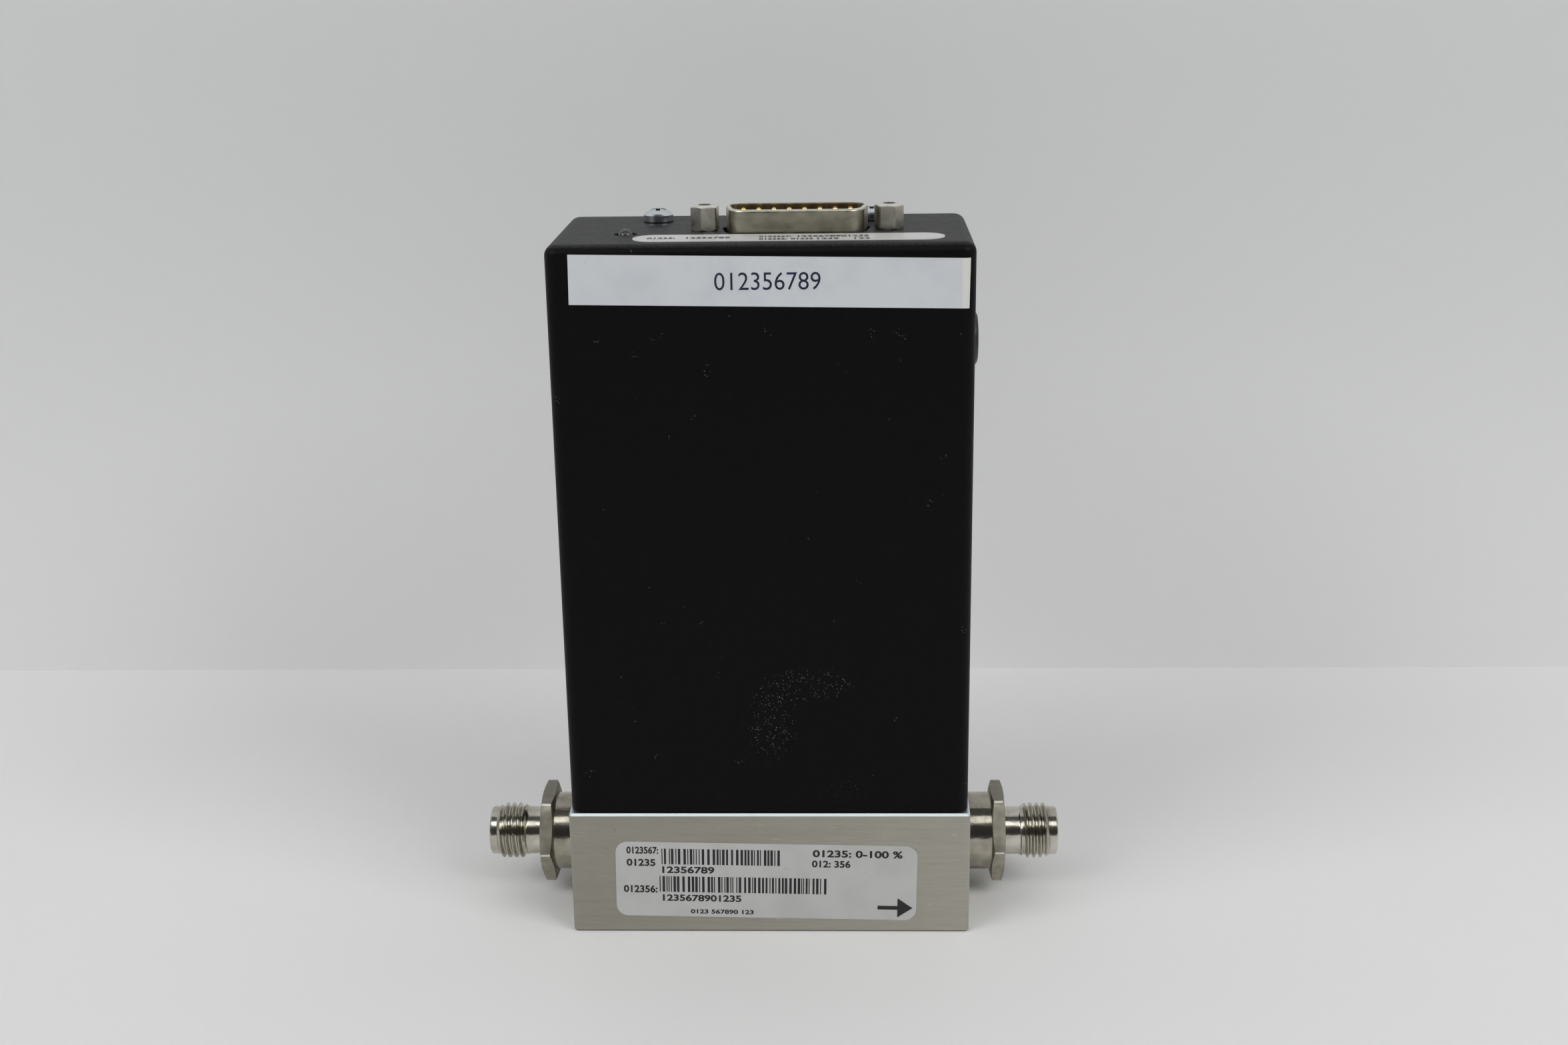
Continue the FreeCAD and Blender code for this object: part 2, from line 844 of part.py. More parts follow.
def link_header():
    """Plastic strip on the main board that holds the joining pins."""
    half = link_count * link_pitch / 2
    top = board_top - link_body_drop
    strip = box(
        (-half, board_front - link_body_depth, top - link_body_height),
        (half, board_front, top),
    )
    return strip.cut([link_pin(x, slip_fit) for x in link_places()])


def link_pin(x, extra):
    """Square pin, thickened by an extra where its own hole is wanted."""
    half = link_pin_size / 2 + extra
    low = board_top - link_body_drop - link_body_height
    high = connector_board_top + link_pin_overrun
    return box((x - half, link_y - half, low), (x + half, link_y + half, high))


def link_pins():
    """Square pins from the main board's header up through the connector board."""
    return [link_pin(x, 0) for x in link_places()]


# Connector
def d_face(extra):
    """D shaped face about the connector's centre, an extra outside the shell's inner wall."""
    slope = math.tan(math.radians(shell_slope))
    lean = 1 / math.cos(math.radians(shell_slope))
    half_depth = shell_depth / 2 + extra
    middle = shell_width / 2 - shell_depth / 2 * slope + extra * lean
    wide, narrow = middle + half_depth * slope, middle - half_depth * slope
    corners = [
        (-narrow, -half_depth),
        (narrow, -half_depth),
        (wide, half_depth),
        (-wide, half_depth),
    ]
    face = rounded_face(corners, [shell_corner_radius + extra] * 4)
    face.translate(Vector(connector_x, connector_y, 0))
    return face


def pin_places():
    """The connector's pins, the longer row towards the back."""
    places = []
    for count, side in ((pin_count, 1), (pin_count - 1, -1)):
        for i in range(count):
            x = connector_x + (i - (count - 1) / 2) * pin_pitch
            places.append((x, connector_y + side * pin_row_spacing / 2))
    return places


def connector_flange(low, high):
    """Flat flange of one of the connector's two shells, with its jackscrew holes."""
    half = jack_spacing / 2 + flange_end_margin
    plate = rounded_plate(half, flange_depth / 2, flange_corner_radius, low, high)
    plate = moved(plate, (connector_x, connector_y, 0))
    hole = jack_thread_diameter + 2 * screw_fit
    holes = [rod(hole, (x, connector_y, low - 1), (x, connector_y, high + 1)) for x in jack_places()]
    return plate.cut(holes)


def connector_shell():
    """Drawn steel shell round the pins, with four grounding dimples in its back wall."""
    rim = cover_top + shell_rim_height
    low = under_cover - flange_thickness
    wall = raised(d_face(shell_wall), low, rim)
    edges = [e for e in wall.Edges if min(v.Z for v in e.Vertexes) > rim - slip_fit]
    wall = wall.makeFillet(shell_rim_round, edges)
    shell = fused([wall, connector_flange(low, under_cover)])
    shell = shell.cut(raised(d_face(0), low - 1, rim + 1))
    inner_back = connector_y + shell_depth / 2
    centre_y = inner_back + dimple_radius - dimple_reach
    limit_y = inner_back + shell_wall
    ribs = []
    for i in range(dimple_count):
        x = connector_x + (i - (dimple_count - 1) / 2) * dimple_spacing
        bar = rod(2 * dimple_radius, (x, centre_y, rim - dimple_height), (x, centre_y, rim))
        limit = box(
            (x - dimple_radius - 1, centre_y - dimple_radius - 1, rim - dimple_height - 1),
            (x + dimple_radius + 1, limit_y - shell_rim_round, rim - shell_rim_round),
        )
        ribs.append(bar.common(limit))
    return fused([shell] + ribs)


def connector_rear_shell():
    """Second steel shell, under the flange, round the back of the insulator."""
    low = flanges_bottom - rear_shell_height
    top = under_cover - flange_thickness
    plate = connector_flange(flanges_bottom, top)
    shell = fused([raised(d_face(shell_wall), low, top), plate])
    return shell.cut(raised(d_face(0), low - 1, top + 1))


def connector_insulator():
    """Moulded block that holds the pins."""
    block = raised(d_face(-slip_fit), connector_board_top, under_cover + insulator_rise)
    low, high = connector_board_top - 1, under_cover + insulator_rise + 1
    diameter = pin_diameter + 2 * slip_fit
    return block.cut([rod(diameter, (x, y, low), (x, y, high)) for x, y in pin_places()])


def connector_pins():
    """Fifteen turned pins with round tips and thin solder tails."""
    radius = pin_diameter / 2
    shoulder = Vector(0, 0, cover_top + shell_rim_height - pin_below_rim - radius)
    root = Vector(0, 0, connector_board_top)
    pin = fused([
        rod(pin_tail_diameter, root - Z * pin_tail_length, root),
        rod(pin_diameter, root, shoulder),
        Part.makeSphere(radius, shoulder),
    ])
    return [moved(pin, (x, y, 0)) for x, y in pin_places()]


def jack_places():
    """X places of the two jackscrews."""
    return [connector_x - jack_spacing / 2, connector_x + jack_spacing / 2]


def jackscrews():
    """Two hexagonal jackscrews that clamp the connector's flange under the cover."""
    corner = jack_corner_diameter / 2
    limit = [
        (0, 0),
        (0, corner - jack_foot_edge),
        (jack_foot_edge, corner),
        (jack_height - jack_top_edge, corner),
        (jack_height, corner - jack_top_reach),
        (jack_height, 0),
    ]
    below = cover_wall + 2 * flange_thickness + jack_nut_height + jack_overrun
    made = []
    for x, turn in zip(jack_places(), (left_jack_turn, right_jack_turn)):
        seat = Vector(x, connector_y, cover_top)
        body = raised(hexagon(jack_flats, turn), 0, jack_height)
        body = moved(body, seat).common(turned(limit, seat, Z))
        shank = rod(jack_thread_diameter, seat - Z * below, seat)
        hole = rod(
            jack_hole_diameter, seat + Z * (jack_height - jack_hole_depth), seat + Z * (jack_height + 1)
        )
        made.append(fused([body, shank]).cut(hole))
    return made


def jack_nuts():
    """Two round nuts under the connector's flanges for the jackscrews."""
    low, high = flanges_bottom - jack_nut_height, flanges_bottom
    nuts = []
    for x in jack_places():
        nut = rod(jack_nut_diameter, (x, connector_y, low), (x, connector_y, high))
        hole = jack_thread_diameter + 2 * slip_fit
        nuts.append(nut.cut(rod(hole, (x, connector_y, low - 1), (x, connector_y, high + 1))))
    return nuts


# Status light
def led_lead_places():
    """X places of the status light's two wires."""
    return [led_x - led_lead_pitch / 2, led_x + led_lead_pitch / 2]


def led_leads():
    """Two wires, one of them with the cup that holds the light's chip."""
    half = led_lead_size / 2
    low = connector_board_bottom - led_lead_overrun
    heights = (led_base + led_height / 2, led_base + led_height / 2 - led_lead_size)
    wires = []
    for x, top in zip(led_lead_places(), heights):
        wires.append(box((x - half, led_y - half, low), (x + half, led_y + half, top)))
    x = led_lead_places()[0]
    cup = rod(led_cup_width, (x, led_y, heights[0]), (x, led_y, heights[0] + led_cup_width / 2))
    return [fused([wires[0], cup]), wires[1]]


def led():
    """Clear moulded lens of the status light."""
    radius = led_diameter / 2
    seat = Vector(led_x, led_y, led_base)
    flange = rod(led_flange_diameter, seat, seat + Z * led_flange_height)
    barrel = rod(led_diameter, seat, seat + Z * (led_height - radius))
    dome = Part.makeSphere(radius, seat + Z * (led_height - radius))
    return fused([flange, barrel, dome]).cut(led_leads())


def led_spacer():
    """Sleeve that holds the status light at the height of the cover."""
    low, high = (led_x, led_y, connector_board_top), (led_x, led_y, led_base)
    return rod(led_spacer_diameter, low, high).cut(rod(led_spacer_bore, low, high))


# Cover and what closes it
def cover_screw_place(side):
    """Screw in the top of the cover, as an (x, y) place."""
    return (side * cover_screw_spacing / 2, cover_screw_y)


def cover_solid(inset):
    """The rounded outside of the cover, or its inside when set in by the wall."""
    corner = cover_corner_radius - min(inset, cover_corner_radius - 0.3)
    edge = cover_top_radius - min(inset, cover_top_radius - 0.3)
    half_x, half_y = cover_half_length - inset, cover_half_depth - inset
    top = cover_top - inset
    body = rounded_plate(half_x, half_y, corner, cover_foot, top)
    edges = [e for e in body.Edges if min(v.Z for v in e.Vertexes) > top - slip_fit]
    return body.makeFillet(edge, edges)


def cover():
    """Drawn black can, open below, with the holes in its top and in its outlet side."""
    inside = cover_solid(cover_wall)
    foot = inside.common(
        box(
            (-block_length, -block_depth, cover_foot - 1),
            (block_length, block_depth, cover_foot + 1),
        )
    )
    cuts = [inside, moved(foot, (0, 0, -1))]
    low, high = under_cover - 1, cover_top + 1
    cutout = raised(d_face(shell_wall + cutout_gap), low, high)
    cuts.append(moved(cutout, (cutout_shift, 0, 0)))
    for x in jack_places():
        diameter = jack_thread_diameter + 2 * screw_fit
        cuts.append(rod(diameter, (x, connector_y, low), (x, connector_y, high)))
    for side in (-1, 1):
        x, y = cover_screw_place(side)
        diameter = cover_screw_diameter + 2 * screw_fit
        cuts.append(rod(diameter, (x, y, low), (x, y, high)))
    cuts.append(rod(led_hole_diameter, (led_x, led_y, low), (led_x, led_y, high)))
    side_hole = (inner_half_length - 1, zero_y, zero_height)
    cuts.append(rod(plug_hole_diameter, side_hole, (end_face + 1, zero_y, zero_height)))
    return cover_solid(0).cut(cuts)


def cover_screws():
    """Two cross-recessed pan head screws through the cover into the frame."""
    rise = pan_head_height - pan_head_rim
    dome_radius = ((pan_head_diameter / 2) ** 2 + rise ** 2) / (2 * rise)
    dome = Part.makeSphere(dome_radius, Z * (pan_head_height - dome_radius))
    head = rod(pan_head_diameter, (0, 0, 0), (0, 0, pan_head_height)).common(dome)
    shank = rod(cover_screw_diameter, (0, 0, -cover_screw_length), (0, 0, 0))
    half, reach = cross_width / 2, cross_reach / 2
    low, high = pan_head_height - cross_depth, pan_head_height + 1
    cross = box((-reach, -half, low), (reach, half, high))
    cross = cross.fuse(box((-half, -reach, low), (half, reach, high)))
    screw = fused([shank, head]).cut(cross)
    return [moved(screw, (*cover_screw_place(side), cover_top)) for side in (-1, 1)]


def hole_plug():
    """Black snap-in plug over the trimmer's access hole."""
    seat = Vector(cover_half_length, zero_y, zero_height)
    bore = plug_hole_diameter / 2 - slip_fit
    head = plug_head_diameter / 2
    inner = bore - plug_wall
    depth = cover_wall + plug_grip
    profile = [
        (-depth, inner),
        (-depth, bore),
        (-cover_wall - slip_fit - plug_barb, bore + plug_barb / 2),
        (-cover_wall - slip_fit, bore),
        (0, bore),
        (0, head),
        (plug_head_height, head),
        (plug_head_height, 0),
        (0, 0),
        (0, inner),
    ]
    plug = turned(profile, seat, X)
    face = cover_half_length + plug_head_height
    edges = [e for e in plug.Edges if min(v.X for v in e.Vertexes) > face - slip_fit]
    return plug.makeFillet(plug_head_edge, edges)


# Labels
def front_tape():
    """Strip of white tape on the front, its end carried round the cover's corner."""
    def ring(extra):
        corner = cover_corner_radius + extra
        return rounded_plate(
            cover_half_length + extra, cover_half_depth + extra, corner, cover_foot, cover_top
        )

    left = -cover_half_length + tape_left_margin
    right = cover_half_length - cover_corner_radius + tape_wrap
    top = cover_top - tape_drop
    window = box((left, -block_depth, top - tape_height), (right, 0, top))
    window.rotate(Vector(left, 0, top), Y, tape_turn)
    return ring(label_thickness).cut(ring(0)).common(window)


def rating_label():
    """White label on the front of the block, stuck on slightly askew."""
    corner = rating_corner_radius
    plate = rounded_plate(rating_length / 2, rating_height / 2, corner, 0, label_thickness)
    plate.rotate(Vector(), Z, -rating_turn)
    plate.rotate(Vector(), X, 90)
    return moved(plate, (rating_x, -block_depth / 2, rating_z))


def top_label():
    """Narrow white label along the front of the cover's top."""
    corner = top_label_corner_radius
    low, high = cover_top, cover_top + label_thickness
    front = -cover_half_depth + top_label_margin
    cutout_front = connector_y - shell_depth / 2 - shell_wall - cutout_gap
    back = cutout_front - top_label_back_gap
    plate = rounded_plate(top_label_length / 2, (back - front) / 2, corner, low, high)
    return moved(plate, (top_label_x, (front + back) / 2, 0))


pieces = {
    "flow_block": flow_block,
    "inlet_fitting": lambda: fitting(-1, inlet_hex_turn),
    "outlet_fitting": lambda: fitting(1, 0.0),
    "inlet_seal": lambda: port_seal(-1),
    "outlet_seal": lambda: port_seal(1),
    "flow_element": flow_element,
    "element_clip": element_clip,
    "sensor_base": sensor_base,
    "tap_seals": tap_seals,
    "sensor_tube": sensor_tube,
    "sensor_windings": sensor_windings,
    "sensor_can": sensor_can,
    "sensor_screws": sensor_screws,
    "sensor_ribbon": sensor_ribbon,
    "frame": frame,
    "frame_screws": frame_screws,
    "flange_nuts": flange_nuts,
    "standoffs": standoffs,
    "main_board": main_board,
    "board_screws": board_screws,
    "board_chips": chips,
    "board_capacitors": capacitors,
    "ribbon_plug": ribbon_plug,
    "zero_trimmer": zero_trimmer,
    "link_header": link_header,
    "link_pins": link_pins,
    "connector_board": connector_board,
    "connector_shell": connector_shell,
    "connector_rear_shell": connector_rear_shell,
    "connector_insulator": connector_insulator,
    "connector_pins": connector_pins,
    "jackscrews": jackscrews,
    "jack_nuts": jack_nuts,
    "status_led": led,
    "led_leads": led_leads,
    "led_spacer": led_spacer,
    "cover": cover,
    "cover_screws": cover_screws,
    "hole_plug": hole_plug,
    "front_tape": front_tape,
    "rating_label": rating_label,
    "top_label": top_label,
}

os.makedirs("parts", exist_ok=True)
for name, make in pieces.items():
    made = make()
    if isinstance(made, list):
        made = Part.makeCompound(made)
    made.exportStep("parts/" + name + ".step")
    print(name, len(made.Solids), round(made.Volume, 1), made.isValid())
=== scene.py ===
import math
import random

import bmesh
import bpy
from mathutils import Matrix, Vector


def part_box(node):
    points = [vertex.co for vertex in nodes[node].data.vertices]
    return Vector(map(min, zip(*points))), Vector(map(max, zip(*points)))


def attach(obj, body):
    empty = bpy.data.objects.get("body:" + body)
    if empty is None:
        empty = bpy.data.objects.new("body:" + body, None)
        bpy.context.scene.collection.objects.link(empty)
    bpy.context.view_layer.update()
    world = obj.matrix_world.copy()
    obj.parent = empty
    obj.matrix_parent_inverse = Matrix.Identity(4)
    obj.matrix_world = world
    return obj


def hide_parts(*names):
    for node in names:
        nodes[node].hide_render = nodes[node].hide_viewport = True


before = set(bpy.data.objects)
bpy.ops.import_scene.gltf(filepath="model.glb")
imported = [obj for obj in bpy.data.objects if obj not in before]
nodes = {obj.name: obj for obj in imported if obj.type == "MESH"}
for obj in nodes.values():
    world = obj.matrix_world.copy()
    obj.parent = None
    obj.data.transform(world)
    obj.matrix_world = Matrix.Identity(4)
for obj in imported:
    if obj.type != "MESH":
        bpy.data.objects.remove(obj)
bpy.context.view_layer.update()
scene = bpy.context.scene
scene.view_settings.view_transform = "Standard"
mm = 0.001


# Camera. It looks down a little from in front of the meter, 14 mm right of its middle and
# nearly 50 mm above its top, where the photograph was taken from.
camera_place = Vector((14.382, -346.081, 184.757)) * mm
camera_yaw, camera_pitch, camera_roll = 0.03278, 0.30206, -0.01436
focal_length_pixels = 2852.58
photo_width_pixels = 2352

camera_data = bpy.data.cameras.new("camera")
camera_data.sensor_width = 36.0
camera_data.lens = camera_data.sensor_width * focal_length_pixels / photo_width_pixels
camera_data.clip_start = 0.01
camera = bpy.data.objects.new("camera", camera_data)
camera.matrix_world = (
    Matrix.Translation(camera_place)
    @ Matrix.Rotation(camera_yaw, 4, "Z")
    @ Matrix.Rotation(math.pi / 2 - camera_pitch, 4, "X")
    @ Matrix.Rotation(camera_roll, 4, "Z")
)
scene.collection.objects.link(camera)
scene.camera = camera


# Bench and wall. The meter stands on a pale painted bench in front of a pale painted wall.
# Neither is part of it. Each shows from its front only, so that neither hides the meter from
# a camera behind the wall or under the bench.
bench_drop = 0.05
bench_reach = 6000.0
wall_distance = 118.0
wall_reach = 3000.0
wall_shade_foot, wall_shade_top = -60.0, 170.0


class Socket:
    """What comes out of a node, with the arithmetic that the finishes are written in."""

    def __init__(self, nodes_of, output):
        self.nodes_of, self.output = nodes_of, output

    def maths(self, operation, *values):
        settings, inputs = {"operation": operation}, dict(enumerate(values))
        return self.nodes_of.node("ShaderNodeMath", settings, inputs)

    def __add__(self, other):
        return self.maths("ADD", self, other)

    __radd__ = __add__

    def __sub__(self, other):
        return self.maths("SUBTRACT", self, other)

    def __rsub__(self, other):
        return self.maths("SUBTRACT", other, self)

    def __mul__(self, other):
        return self.maths("MULTIPLY", self, other)

    __rmul__ = __mul__

    def __gt__(self, other):
        return self.maths("GREATER_THAN", self, other)

    def __lt__(self, other):
        return self.maths("LESS_THAN", self, other)

    def between(self, low, high):
        """0 below the low value, 1 above the high one, and a smooth step from one to the other."""
        settings = {"interpolation_type": "SMOOTHSTEP"}
        return self.nodes_of.node("ShaderNodeMapRange", settings, {0: self, 1: low, 2: high})


class Nodes:
    """The nodes of a material or of the world."""

    def __init__(self, tree, coordinates):
        self.tree = tree
        self.place = self.node("ShaderNodeTexCoord", output=coordinates)

    def node(self, kind, settings=None, inputs=None, output=0):
        """Any node, from its type, its settings, and the values or links of its inputs."""
        made = self.tree.nodes.new(kind)
        for name, value in (settings or {}).items():
            setattr(made, name, value)
        for name, value in (inputs or {}).items():
            self.join(value, made.inputs[name])
        return Socket(self, made.outputs[output])

    def join(self, value, socket):
        """Links a node's output to an input, or sets the input to a plain value."""
        if isinstance(value, Socket):
            self.tree.links.new(value.output, socket)
        elif socket.type == "RGBA":
            socket.default_value = (*value, 1.0)
        else:
            socket.default_value = value

    def part(self, axis):
        """One of the three coordinates."""
        return self.node("ShaderNodeSeparateXYZ", inputs={0: self.place}, output=axis)

    def scaled(self, scale):
        """The coordinates, stretched by a factor along each axis."""
        inputs = {0: self.place, 1: scale}
        return self.node("ShaderNodeVectorMath", {"operation": "MULTIPLY"}, inputs)

    def noise(self, per_metre, detail=2.0, stretch=(1, 1, 1)):
        """Soft noise with so many waves to the metre."""
        inputs = {"Vector": self.scaled(stretch), "Scale": per_metre, "Detail": detail}
        return self.node("ShaderNodeTexNoise", inputs=inputs)

    def mix(self, factor, first, second):
        """A colour between two others."""
        inputs = {0: factor, 6: first, 7: second}
        return self.node("ShaderNodeMix", {"data_type": "RGBA"}, inputs, 2)


class Finish(Nodes):
    """A material, made by feeding the sockets of its one surface shader."""

    def __init__(self, name, **plain):
        self.material = bpy.data.materials.new(name)
        self.material.use_nodes = True
        super().__init__(self.material.node_tree, "Object")
        self.shader = self.tree.nodes["Principled BSDF"]
        self.feed(**plain)

    def feed(self, **sockets):
        """Sets or links the shader's sockets, named with an underscore for each space."""
        for name, value in sockets.items():
            self.join(value, self.shader.inputs[name.replace("_", " ")])

    def relief(self, height, depth):
        """Bumps on the surface, so many metres from the lowest to the highest."""
        self.feed(Normal=self.node("ShaderNodeBump", inputs={"Height": height, "Distance": depth}))


def new_object(name, bm, *finishes):
    """An object made of a bmesh that is in metres, smooth except at its sharp edges."""
    sharp_angle = math.radians(25)
    for edge in bm.edges:
        edge.smooth = edge.calc_face_angle(0.0) < sharp_angle
    for face in bm.faces:
        face.smooth = True
    mesh = bpy.data.meshes.new(name)
    bm.to_mesh(mesh)
    bm.free()
    for finish in finishes:
        mesh.materials.append(finish.material)
    made = bpy.data.objects.new(name, mesh)
    scene.collection.objects.link(made)
    return made


def board(half_x, half_y, matrix):
    """A flat rectangle, placed by a matrix."""
    bm = bmesh.new()
    size = Matrix.Diagonal((half_x, half_y, 1, 1))
    bmesh.ops.create_grid(bm, x_segments=1, y_segments=1, size=1.0, matrix=size)
    bmesh.ops.transform(bm, matrix=matrix, verts=bm.verts)
    return bm


def one_sided(finish):
    """Lets a camera behind the surface see through it."""
    from_behind = finish.node("ShaderNodeNewGeometry", output="Backfacing")
    solid = Socket(finish, finish.shader.outputs[0])
    clear = finish.node("ShaderNodeBsdfTransparent")
    surface = finish.node("ShaderNodeMixShader", inputs={0: from_behind, 1: solid, 2: clear})
    finish.join(surface, finish.tree.nodes["Material Output"].inputs["Surface"])


bench_paint = Finish("bench_paint", Roughness=0.55, Specular_IOR_Level=0.3)
bench_cloud = bench_paint.noise(9.0, 3.0)
bench_paint.feed(Base_Color=bench_paint.mix(bench_cloud, (0.81, 0.81, 0.81), (0.85, 0.85, 0.845)))
one_sided(bench_paint)
bench_place = Matrix.Translation((0, 0, -bench_drop * mm))
bench = new_object("bench", board(bench_reach * mm, bench_reach * mm, bench_place), bench_paint)

wall_paint = Finish("wall_paint", Roughness=0.6, Specular_IOR_Level=0.3)
wall_cloud = wall_paint.noise(6.0, 3.0)
wall_shade = wall_paint.part("Z").between(wall_shade_foot * mm, wall_shade_top * mm)
wall_colour = wall_paint.mix(wall_shade, (0.91, 0.91, 0.91), (0.66, 0.665, 0.67))
wall_paint.feed(Base_Color=wall_paint.mix(wall_cloud * 0.2, wall_colour, (0.85, 0.85, 0.85)))
one_sided(wall_paint)
wall_place = Matrix.Translation((0, wall_distance * mm, 0)) @ Matrix.Rotation(math.pi / 2, 4, "X")
wall = new_object("wall", board(wall_reach * mm, wall_reach * mm, wall_place), wall_paint)


# Light. Three soft lamps hang round the front: a dim wide one whose reflection is the bright
# band along the turned metal, and one on either side that does most of the lighting. The
# room is pale, but darker behind the camera: bright metal shows that as its dark bands.
lamp_distance = 1.1
lamp_aim = Vector((0, 0, 60 * mm))
room_glow, ceiling_glow, front_glow = 0.40, 0.09, 0.04
# Each fade is how far forwards or up a direction points where a tone of the room starts to
# change, and where it is through.
front_fade, floor_fade = (0.1, 0.55), (-0.05, 0.04)
above_fade, ceiling_fade = (0.62, 0.74), (0.74, 0.92)


def soft_lamp(name, azimuth, elevation, width, height, brightness):
    """A rectangular lamp. Its azimuth is measured from the front, to the right."""
    data = bpy.data.lights.new(name, "AREA")
    data.shape = "RECTANGLE"
    data.size, data.size_y = width, height
    data.energy = brightness * math.pi * width * height
    lamp = bpy.data.objects.new(name, data)
    lamp.matrix_world = (
        Matrix.Translation(lamp_aim)
        @ Matrix.Rotation(math.radians(azimuth), 4, "Z")
        @ Matrix.Rotation(math.radians(90 - elevation), 4, "X")
        @ Matrix.Translation((0, 0, lamp_distance))
    )
    scene.collection.objects.link(lamp)


soft_lamp("front_lamp", azimuth=0, elevation=56, width=0.9, height=0.38, brightness=1.5)
soft_lamp("left_lamp", azimuth=-52, elevation=38, width=0.55, height=0.45, brightness=5.0)
soft_lamp("right_lamp", azimuth=52, elevation=38, width=0.55, height=0.45, brightness=5.4)

world = bpy.data.worlds.new("room")
world.use_nodes = True
scene.world = world
room = Nodes(world.node_tree, "Generated")
forwards = room.part("Y") * -1
upwards = room.part("Z")
above_floor = upwards.between(*floor_fade) - upwards.between(*above_fade)
unlit = forwards.between(*front_fade) * above_floor
ceiling = upwards.between(*ceiling_fade)
glow = room_glow - unlit * (room_glow - front_glow) - ceiling * (room_glow - ceiling_glow)
room.join(glow, world.node_tree.nodes["Background"].inputs["Strength"])
room.join((1.0, 1.0, 1.0), world.node_tree.nodes["Background"].inputs["Color"])


# Flow block. A bar of stainless steel, bored through and ground on all sides: fine straight
# scratches run along it, with a few deeper ones and some specks of dirt. Its colour darkens
# towards the left end, and its upper edge is painted pale blue as a painted highlight.
darkening_reach = 45.0
edge_highlight_low, edge_highlight_high = 24.46, 24.54


def dress(finish, *names):
    """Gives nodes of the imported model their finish."""
    for name in names:
        slots = nodes[name].data.materials
        slots.clear()
        slots.append(finish.material)


ground_steel = Finish("ground_steel", Metallic=1.0)
grain = ground_steel.noise(1.0, 3.0, stretch=(330, 9000, 9000))
streaks = ground_steel.noise(1.0, 2.0, stretch=(70, 1500, 1500))
clouds = ground_steel.noise(38.0, 3.0)
scratches = ground_steel.noise(1.0, 0.0, stretch=(380, 5200, 5200)).between(0.80, 0.84)
dirt = ground_steel.noise(1500.0, 1.0).between(0.80, 0.83)
tone = (grain * 0.45 + streaks * 0.25 + clouds * 0.30).between(0.25, 0.75)
# The colour darkens towards the left end of the block.
left_darkening = 1 - ground_steel.part("X").between(-darkening_reach * mm, darkening_reach * mm)
# Painted highlight: the upper edge is painted pale blue, where it catches the light.
edge_highlight = ground_steel.part("Z").between(edge_highlight_low * mm, edge_highlight_high * mm)
ground_colour = ground_steel.mix(tone, (0.39, 0.375, 0.32), (0.50, 0.485, 0.425))
ground_colour = ground_steel.mix(scratches * 0.7, ground_colour, (0.80, 0.79, 0.75))
ground_colour = ground_steel.mix(left_darkening * 0.34, ground_colour, (0.22, 0.21, 0.18))
ground_colour = ground_steel.mix(dirt * 0.8, ground_colour, (0.10, 0.07, 0.05))
ground_steel.feed(
    Base_Color=ground_steel.mix(edge_highlight, ground_colour, (0.72, 0.79, 0.82)),
    Roughness=0.33 + grain * 0.10 + clouds * 0.08,
)
ground_steel.relief(grain, 0.010 * mm)
dress(ground_steel, "flow_block")


# Tube fittings. Each is turned from one bar of stainless hexagon: a spigot that seals in the
# block, a boss, the hexagon for the spanner, and a thread and nose for the tube's
# compression nut. They are bright from the tool, and the hexagon is duller.
end_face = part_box("flow_block")[1].x / mm
flow_height = (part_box("outlet_fitting")[0].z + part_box("outlet_fitting")[1].z) / 2 / mm
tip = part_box("outlet_fitting")[1].x / mm - end_face
around = 96
closeness, thread_weld, weld = 0.01, 0.001, 0.0005
spigot_radius, spigot_length = 5.55, 9.0
boss_radius, boss_edge = 7.62, 0.25
hex_start, hex_end = 5.2, 7.7
hex_half_flats, hex_edge_round, hex_lip = 8.73, 0.5, 0.02
hex_round_angles = (10, 30)
hex_bevel = math.tan(math.radians(15))
inlet_hex_turn, outlet_hex_turn = math.radians(-4), 0.0
shank_radius, shank_neck = 4.7, 0.3
thread_start, thread_end = 11.0, 17.0
thread_crest, thread_root, thread_pitch = 5.475, 4.76, 1.27
thread_crest_flat, thread_root_flat = thread_pitch * 0.16, thread_pitch * 0.20
thread_runout, thread_chamfer = 1.2, 1.0
inlet_thread_lead, outlet_thread_lead = 1.14, 0.58
nose_radius, nose_edge = 4.75, 0.3
nose_round_along, nose_round_in = 0.12, 0.09
mouth_radius, mouth_edge, cone_depth = 4.05, 0.1, 3.8
socket_radius, socket_depth = 3.24, 10.0
bore_radius = 2.4


